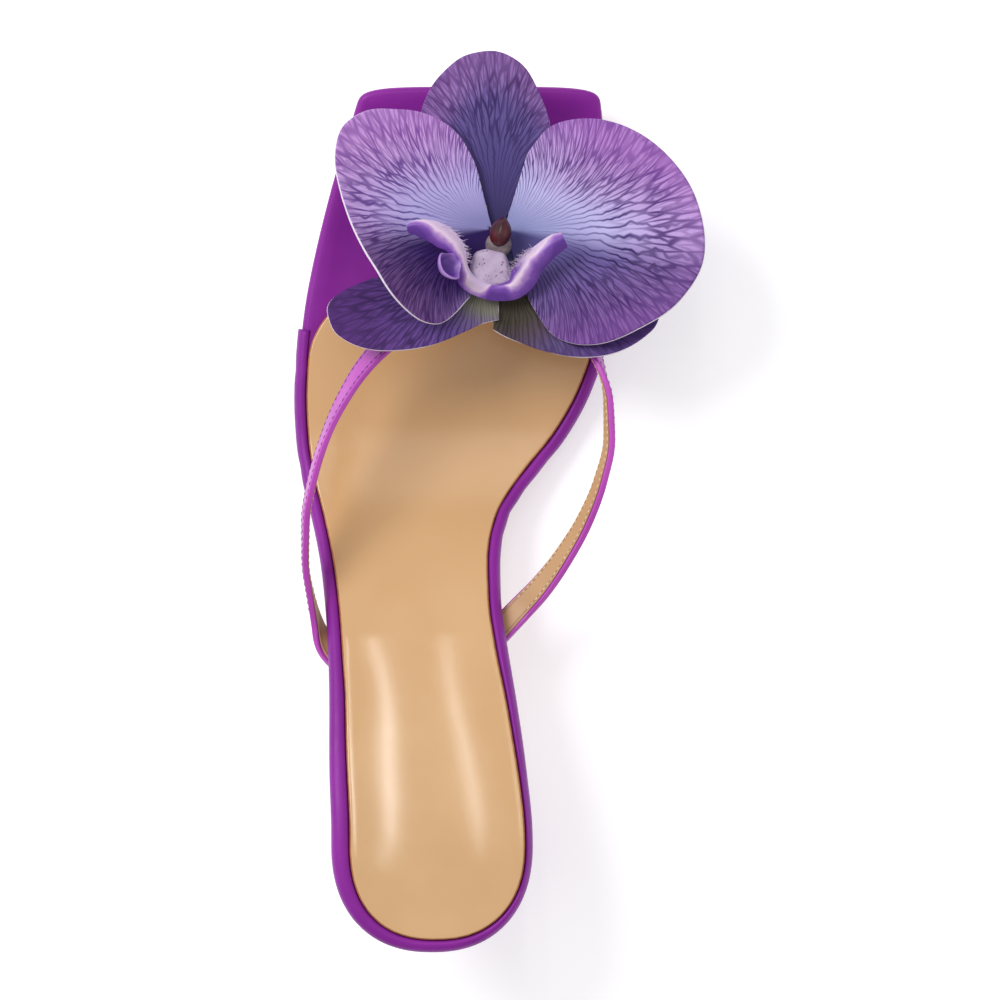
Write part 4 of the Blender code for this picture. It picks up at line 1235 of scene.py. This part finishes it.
# Painted shade on the lower side of a petal: part of its fan where it sets in and where it is full, and its
# tone.
LEFT_SHADE = {"start": 0.45, "full": 0.62, "tone": (0.085, 0.03, 0.175, 1.0)}
RIGHT_SHADE = {"start": 0.50, "full": 0.37, "tone": (0.29, 0.24, 0.42, 1.0)}
PRINTS = {
    "sepal_top": (SEPAL_PRINT, None),
    "sepal_left": (LEFT_PRINT, None),
    "sepal_right": (RIGHT_SEPAL_SHADED_PRINT, None),
    "petal_left": (LEFT_PETAL_LIT_PRINT, LEFT_SHADE),
    "petal_right": (PETAL_PRINT, RIGHT_SHADE),
}
# Long veins: lines to a radian of the fan, how far they wander, half width.
LONG_VEINS = (9.0, 1.8, 0.22)
# Nets of veins: cells to a radian of the fan, cells to 10 mm along the vein, shift, half width, strength.
MAIN_VEINS = (18.0, 1.0, 0.0, 0.21, 0.95)
FINE_VEINS = (34.0, 1.5, 7.3, 0.24, 0.7)
LONG_STRETCH = (2.5, 1.4, 1.0)
NET_NOISE = 0.6
NET_WANDER = (0.6, 0.6, 0.0)
NET_RANDOMNESS = 0.75
VEIN_CORE = 0.2
# Spans of the print over the lobe: the pale midrib across the fan, where the veins set in, where they fade,
# and where the painted shade on the lower side fades.
MIDRIB_SPREAD = (0.0, 0.36)
FINE_START = (0.5, 0.85)
NET_START = (0.35, 0.65)
LINES_FADE = (0.5, 0.9, 1.0, 0.4)
PATCH_SIZE = 7.0
PATCH_FADE = (0.3, 0.65, 0.75, 1.0)
MARGIN_FADE = (0.75, 1.0, 1.0, 0.8)
BASE_FADE = (0.12, 0.6, 0.35, 1.0)
SHADE_FADE = (0.5, 1.05, 1.0, 0.7)
VEIN_BUMP = (0.3, 0.15)


def long_veins(tree, veins, turns, wander, half):
    """Long wandering veins from the base."""
    stretch = {"Vector": veins, "Scale": LONG_STRETCH}
    scaled = add_node(tree, "ShaderNodeMapping", stretch).outputs["Vector"]
    noise = add_node(tree, "ShaderNodeTexNoise", {"Vector": scaled, "Scale": 1.0, "Detail": 2.0},
                     noise_dimensions="2D").outputs["Fac"]
    sway = worked(tree, "MULTIPLY", noise, wander)
    phase = worked(tree, "MULTIPLY_ADD", separated(tree, veins)[0], turns, sway)
    away = worked(tree, "PINGPONG", phase, 0.5)
    return spread_range(tree, away, VEIN_CORE * half, half, 1.0, 0.0)


def vein_set(tree, veins, turns, rows, shift, half, strength):
    """Veins that part and join again round long pointed cells."""
    scaled = add_node(tree, "ShaderNodeMapping", {"Vector": veins, "Location": (shift, shift, 0.0),
                                                  "Rotation": (0.0, 0.0, math.pi / 4.0),
                                                  "Scale": (turns, rows, 1.0)}).outputs["Vector"]
    wander = add_node(tree, "ShaderNodeTexNoise", {"Vector": scaled, "Scale": NET_NOISE, "Detail": 1.0},
                      noise_dimensions="2D").outputs["Color"]
    moved = add_node(tree, "ShaderNodeVectorMath", {0: wander, 1: NET_WANDER, 2: scaled},
                     operation="MULTIPLY_ADD").outputs["Vector"]
    net = {"Vector": moved, "Scale": 1.0, "Randomness": NET_RANDOMNESS}
    cells = add_node(tree, "ShaderNodeTexVoronoi", net, feature="DISTANCE_TO_EDGE", voronoi_dimensions="2D")
    return spread_range(tree, cells.outputs["Distance"], VEIN_CORE * half, half, strength, 0.0)


def lobe_paint(name):
    """Printed cloth: pale cells between branching veins, deeper towards the margin, with painted shade on its
    lower side.
    """
    colours, shade = PRINTS[name]
    angles = column(LOBES[name]["rays"], 0)
    midrib = (LOBES[name]["midrib"] - angles[0]) / (angles[-1] - angles[0])
    made, tree, shader = new_paint(name + "_print", Roughness=0.6, Specular_IOR_Level=0.15)
    veins = add_node(tree, "ShaderNodeUVMap", uv_map="veins").outputs["UV"]
    spread = add_node(tree, "ShaderNodeUVMap", uv_map="spread").outputs["UV"]
    fan, share = separated(tree, spread)
    off = worked(tree, "ABSOLUTE", worked(tree, "SUBTRACT", fan, midrib))
    reach = worked(tree, "DIVIDE", separated(tree, veins)[1], lobe_reach(name) / VEIN_UNIT)
    deeper = spread_range(tree, off, *MIDRIB_SPREAD, colours["midrib"], colours["margin"])
    outwards = worked(tree, "MULTIPLY_ADD", deeper, reach, reach)
    fine = faded(tree, vein_set(tree, veins, *FINE_VEINS), outwards, *FINE_START)
    net = faded(tree, vein_set(tree, veins, *MAIN_VEINS), outwards, *NET_START)
    lines = faded(tree, long_veins(tree, veins, *LONG_VEINS), outwards, *LINES_FADE)
    web = worked(tree, "MAXIMUM", lines, worked(tree, "MAXIMUM", net, fine))
    patch = spread_range(tree, object_noise(tree, PATCH_SIZE, 1.0), *PATCH_FADE)
    patch = faded(tree, patch, reach, *MARGIN_FADE)
    web = worked(tree, "MULTIPLY", web, faded(tree, patch, share, *BASE_FADE))
    dye = mixed(tree, web, ramp(tree, outwards, colours["cells"]), ramp(tree, outwards, colours["veins"]))
    # Painted shade: the lower side of the fan is multiplied by the shade's dark tone.
    if shade:
        turn = 1.0 if shade["full"] > shade["start"] else -1.0
        place = worked(tree, "MULTIPLY", worked(tree, "SUBTRACT", fan, shade["start"]), turn)
        depth = spread_range(tree, place, 0.0, abs(shade["full"] - shade["start"]))
        depth = faded(tree, depth, share, *SHADE_FADE)
        dye = mixed(tree, depth, dye, mixed(tree, 1.0, dye, shade["tone"], "MULTIPLY"))
    tree.links.new(dye, shader.inputs["Base Color"])
    add_bump(tree, shader, worked(tree, "SUBTRACT", 1.0, web), *VEIN_BUMP)
    return made


# Colours of the lip from its pale inner side outwards, and of the fold inside its right arm.
LIP_COLOURS = ((0.12, srgb(206, 182, 214)), (0.36, srgb(224, 198, 222)), (0.5, srgb(176, 132, 204)),
               (0.66, srgb(126, 76, 176)), (1.0, srgb(94, 48, 146)))
LIP_FOLD_PURPLE = srgb(112, 66, 160)
LIP_STRAY = (2.2, 0.24)
# Bands over the lip's run from arm tip to arm tip: middle and span, or the spans where a band sets in and
# where it ends.
LIP_KEEL = (0.48, (0.02, 0.08, 0.42, 0.0))
LIP_TIPS = (0.5, (0.36, 0.48, 0.0, 0.4))
LIP_RIDGE = ((0.54, 0.6), (0.72, 0.82, 0.12, 0.0))
LIP_BRIDGE = ((0.53, 0.56), (0.61, 0.65, 0.35, 0.0))
LIP_PALE_ARM = ((0.1, 0.16), (0.28, 0.34, 0.14, 0.0))
LIP_FOLD = ((0.54, 0.6), (0.72, 0.82, 1.0, 0.0))
LIP_FOLD_EDGE = (0.2, 0.42, 1.0, 0.0)
LIP_BUMP = (0.15, 0.1)
LIP_GRAIN = 0.6
# Colours of the side lobe from its base to its rim, outside and in its hollow, the hollow darker as painted
# shade.
SIDE_LOBE_OUTSIDE = ((0.3, srgb(112, 68, 164)), (0.8, srgb(132, 86, 178)), (1.0, srgb(182, 146, 214)))
SIDE_LOBE_SHADED_HOLLOW = ((0.1, srgb(88, 48, 142)), (0.7, srgb(102, 58, 156)), (1.0, srgb(176, 136, 210)))
SIDE_LOBE_STRAY = (3.0, 0.3)
SIDE_LOBE_TURN = (0.4, 0.6)
SIDE_LOBE_GRAIN = 0.8


def stray_shift(tree, size, reach):
    """Shift of a colour's place to both sides by a noise of a size in millimetres."""
    return worked(tree, "MULTIPLY_ADD", object_noise(tree, size), reach, -reach / 2.0)


def lip_about(tree, run, middle, span):
    """Band on the lip measured from a place on its run, alike to both sides."""
    away = worked(tree, "ABSOLUTE", worked(tree, "SUBTRACT", run, middle))
    return spread_range(tree, away, *span)


def lip_band(tree, run, start, end):
    """Band over a stretch of the lip's run, soft where it sets in and where it ends."""
    return faded(tree, spread_range(tree, run, *start), run, *end)


def lip_paint():
    """Waxy lip, pale pink along its inner side and in the middle, purple outside."""
    made, tree, shader = new_paint("lip_purple", Roughness=0.42, Subsurface_Weight=0.1,
                                   Subsurface_Scale=0.002)
    spread = add_node(tree, "ShaderNodeUVMap", uv_map="spread").outputs["UV"]
    off, run = separated(tree, spread)
    keel = lip_about(tree, run, *LIP_KEEL)
    tips = lip_about(tree, run, *LIP_TIPS)
    place = worked(tree, "ADD", worked(tree, "ADD", off, stray_shift(tree, *LIP_STRAY)),
                   worked(tree, "SUBTRACT", tips, keel))
    place = worked(tree, "SUBTRACT", place, lip_band(tree, run, *LIP_RIDGE))
    place = worked(tree, "ADD", place, lip_band(tree, run, *LIP_BRIDGE))
    place = worked(tree, "SUBTRACT", place, lip_band(tree, run, *LIP_PALE_ARM))
    fold = faded(tree, lip_band(tree, run, *LIP_FOLD), off, *LIP_FOLD_EDGE)
    colour = mixed(tree, fold, ramp(tree, place, LIP_COLOURS), LIP_FOLD_PURPLE)
    tree.links.new(colour, shader.inputs["Base Color"])
    add_bump(tree, shader, object_noise(tree, LIP_GRAIN), *LIP_BUMP)
    return made


def side_lobe_paint():
    """Waxy lobe, violet outside and pale on its rim, its hollow deep purple as painted shade."""
    made, tree, shader = new_paint("side_lobe_purple", Roughness=0.4)
    spread = add_node(tree, "ShaderNodeUVMap", uv_map="spread").outputs["UV"]
    away, upward = separated(tree, spread)
    place = worked(tree, "ADD", away, stray_shift(tree, *SIDE_LOBE_STRAY))
    outside = ramp(tree, place, SIDE_LOBE_OUTSIDE)
    hollow_shade = ramp(tree, place, SIDE_LOBE_SHADED_HOLLOW)
    # Painted shade: faces turned up, in the hollow, take the darker colours.
    colour = mixed(tree, spread_range(tree, upward, *SIDE_LOBE_TURN), outside, hollow_shade)
    tree.links.new(colour, shader.inputs["Base Color"])
    add_bump(tree, shader, object_noise(tree, SIDE_LOBE_GRAIN), *LIP_BUMP)
    return made


FLOOR_SIZE = 3.0
FLOOR_WHITE = (0.92, 0.92, 0.92, 1.0)
FLOOR_GLOW = 0.42


def make_floor():
    mesh = bmesh.new()
    bmesh.ops.create_grid(mesh, x_segments=1, y_segments=1, size=FLOOR_SIZE)
    data = bpy.data.meshes.new("floor")
    mesh.to_mesh(data)
    mesh.free()
    paint, tree, shader = new_paint("floor_white", Roughness=0.9, Base_Color=FLOOR_WHITE,
                                    Emission_Color=(1.0, 1.0, 1.0, 1.0), Emission_Strength=FLOOR_GLOW)
    data.materials.append(paint)
    floor = bpy.data.objects.new("floor", data)
    bpy.context.scene.collection.objects.link(floor)


# Studio lamps: name, place, aim, size, power.
SHOE_MIDDLE = (0.0, 0.0, 0.0)
LAMPS = (
    ("key_softbox", (-0.62, 0.50, 0.92), SHOE_MIDDLE, (0.6, 0.6), 7.8),
    ("outer_softbox", (-1.0, -0.15, 0.35), SHOE_MIDDLE, (0.9, 0.4), 1.2),
    ("inner_softbox", (0.95, -0.1, 0.75), SHOE_MIDDLE, (0.9, 0.5), 1.4),
    ("outer_strip", (-0.088, 0.47, 0.98), (-0.0985, 0.0, 0.0), (0.015, 0.86), 0.36),
    ("inner_strip", (0.037, 0.47, 0.98), (0.05, 0.0, 0.0), (0.017, 0.9), 0.62),
)
WORLD_LIGHT = 0.44


def make_lights():
    for name, place, aim, size, power in LAMPS:
        lamp = bpy.data.lights.new(name, "AREA")
        lamp.shape = "ELLIPSE"
        lamp.size = size[0]
        lamp.size_y = size[1]
        lamp.energy = power
        made = bpy.data.objects.new(name, lamp)
        made.location = place
        made.rotation_euler = (Vector(aim) - Vector(place)).to_track_quat("-Z", "Y").to_euler()
        bpy.context.scene.collection.objects.link(made)
    world = bpy.data.worlds.new("studio")
    world.use_nodes = True
    world.node_tree.nodes["Background"].inputs["Color"].default_value = (1.0, 1.0, 1.0, 1.0)
    world.node_tree.nodes["Background"].inputs["Strength"].default_value = WORLD_LIGHT
    bpy.context.scene.world = world
    bpy.context.scene.view_settings.view_transform = "Standard"


def make_camera():
    """Camera straight over the shoe, toe at the top of the picture."""
    camera = bpy.data.cameras.new("camera")
    camera.sensor_width = SENSOR
    camera.lens = SENSOR * CAMERA_HEIGHT / CAMERA_WIDTH
    made = bpy.data.objects.new("camera", camera)
    made.location = Vector(placed(0.0, CAMERA_ALONG, CAMERA_HEIGHT))
    bpy.context.scene.collection.objects.link(made)
    bpy.context.scene.camera = made


# Leathers: colour, deeper colour, roughness, weight of the coat, tint of the shine.
LEATHERS = {
    "purple_leather": (PURPLE, PURPLE_DEEP, 0.46, 0.03, (0.9, 0.4, 0.9, 1.0)),
    # The straps' lighter purple is painted light.
    "lit_purple_strap_leather": (LIT_STRAP_PURPLE, LIT_STRAP_DEEP, 0.42, 0.1, (1.0, 0.7, 1.0, 1.0)),
    "tan_leather": (TAN, TAN_DEEP, 0.21, 0.0),
    "tan_lining": (LINING_TAN, LINING_DEEP, 0.5, 0.0),
}
# Plain finishes: colour, deeper colour, roughness, size of the mottle, relief, colour of the specks.
PLAIN_FINISHES = {
    "sock_cut_edge": (TAN_EDGE, TAN_EDGE_DEEP, 0.6, 2.0, 0.2),
    "sole_rubber": (SOLE_BROWN, srgb(146, 114, 86), 0.65, 3.0, 0.15),
    "heel_rubber": (RUBBER_DARK, srgb(28, 26, 28), 0.6, 2.0, 0.15),
    "base_felt": (BASE_FELT, srgb(96, 96, 146), 0.9, 0.8, 0.4),
    "cloth_cut_edge": (CUT_WHITE, srgb(220, 208, 226), 0.8, 0.6, 0.1),
    "plate_wax": (srgb(194, 174, 202), srgb(180, 158, 190), 0.5, 3.0, 0.06, srgb(92, 56, 110)),
    "column_hood": (srgb(88, 26, 34), srgb(50, 16, 24), 0.38, 2.4, 0.2),
    "column_collar": (srgb(134, 118, 122), srgb(104, 90, 98), 0.5, 1.6, 0.3),
    "lip_fuzz": (srgb(232, 214, 236), srgb(206, 184, 216), 0.6, 0.5, 0.1),
}


def seam_holes_and_shade(layer, colour):
    """Dark line under the stitches of a strap layer, needle holes and painted shade: share of its half width,
    half of the line, colour.
    """
    return 1.0 - layer["inset"] * 2.0 / layer["width"], layer["seam_dark"], colour


def dyed_leather(name, **finish):
    return leather_paint(name, *LEATHERS[name], **finish)


def main():
    purple = dyed_leather("purple_leather")
    # Straps: a lighter purple as painted light, and a dark line of needle holes and painted shade under the
    # stitches.
    strap = dyed_leather("lit_purple_strap_leather", seam=seam_holes_and_shade(STRAP_LEATHER, PURPLE_SEAM))
    # Tan sock leather with a polished seat and painted shade towards the ball.
    tan = dyed_leather("tan_leather", polish=SEAT_POLISH_AND_SHADE)
    # Lining with a dark line of needle holes and painted shade under its stitches.
    lining = dyed_leather("tan_lining", seam=seam_holes_and_shade(STRAP_LINING, TAN_SEAM))
    plain = {name: plain_paint(name, *finish) for name, finish in PLAIN_FINISHES.items()}

    make_footbed(purple)
    make_sock(tan, plain["sock_cut_edge"])
    make_outsole(plain["sole_rubber"])
    make_binding(purple)
    make_heel(purple, plain["heel_rubber"])
    make_straps(strap, lining)
    make_stitches("leather", STRAP_LEATHER, STRAP_LEATHER["face"] + STITCH_PROUD,
                  thread_paint("purple_thread", THREAD_PURPLE))
    make_stitches("lining", STRAP_LINING, STRAP_LINING["face"] - STRAP_LINING["wall"],
                  thread_paint("pale_thread", THREAD_PALE))
    make_post(purple)
    make_flower_base(plain["base_felt"])
    for name in LOBES:
        make_lobe(name, lobe_paint(name), plain["cloth_cut_edge"])
    make_lip(lip_paint())
    make_side_lobe(side_lobe_paint())
    make_plate(plain["plate_wax"])
    make_column(plain["column_hood"], plain["column_collar"])
    make_hairs(plain["lip_fuzz"])
    make_floor()
    make_lights()
    make_camera()


main()
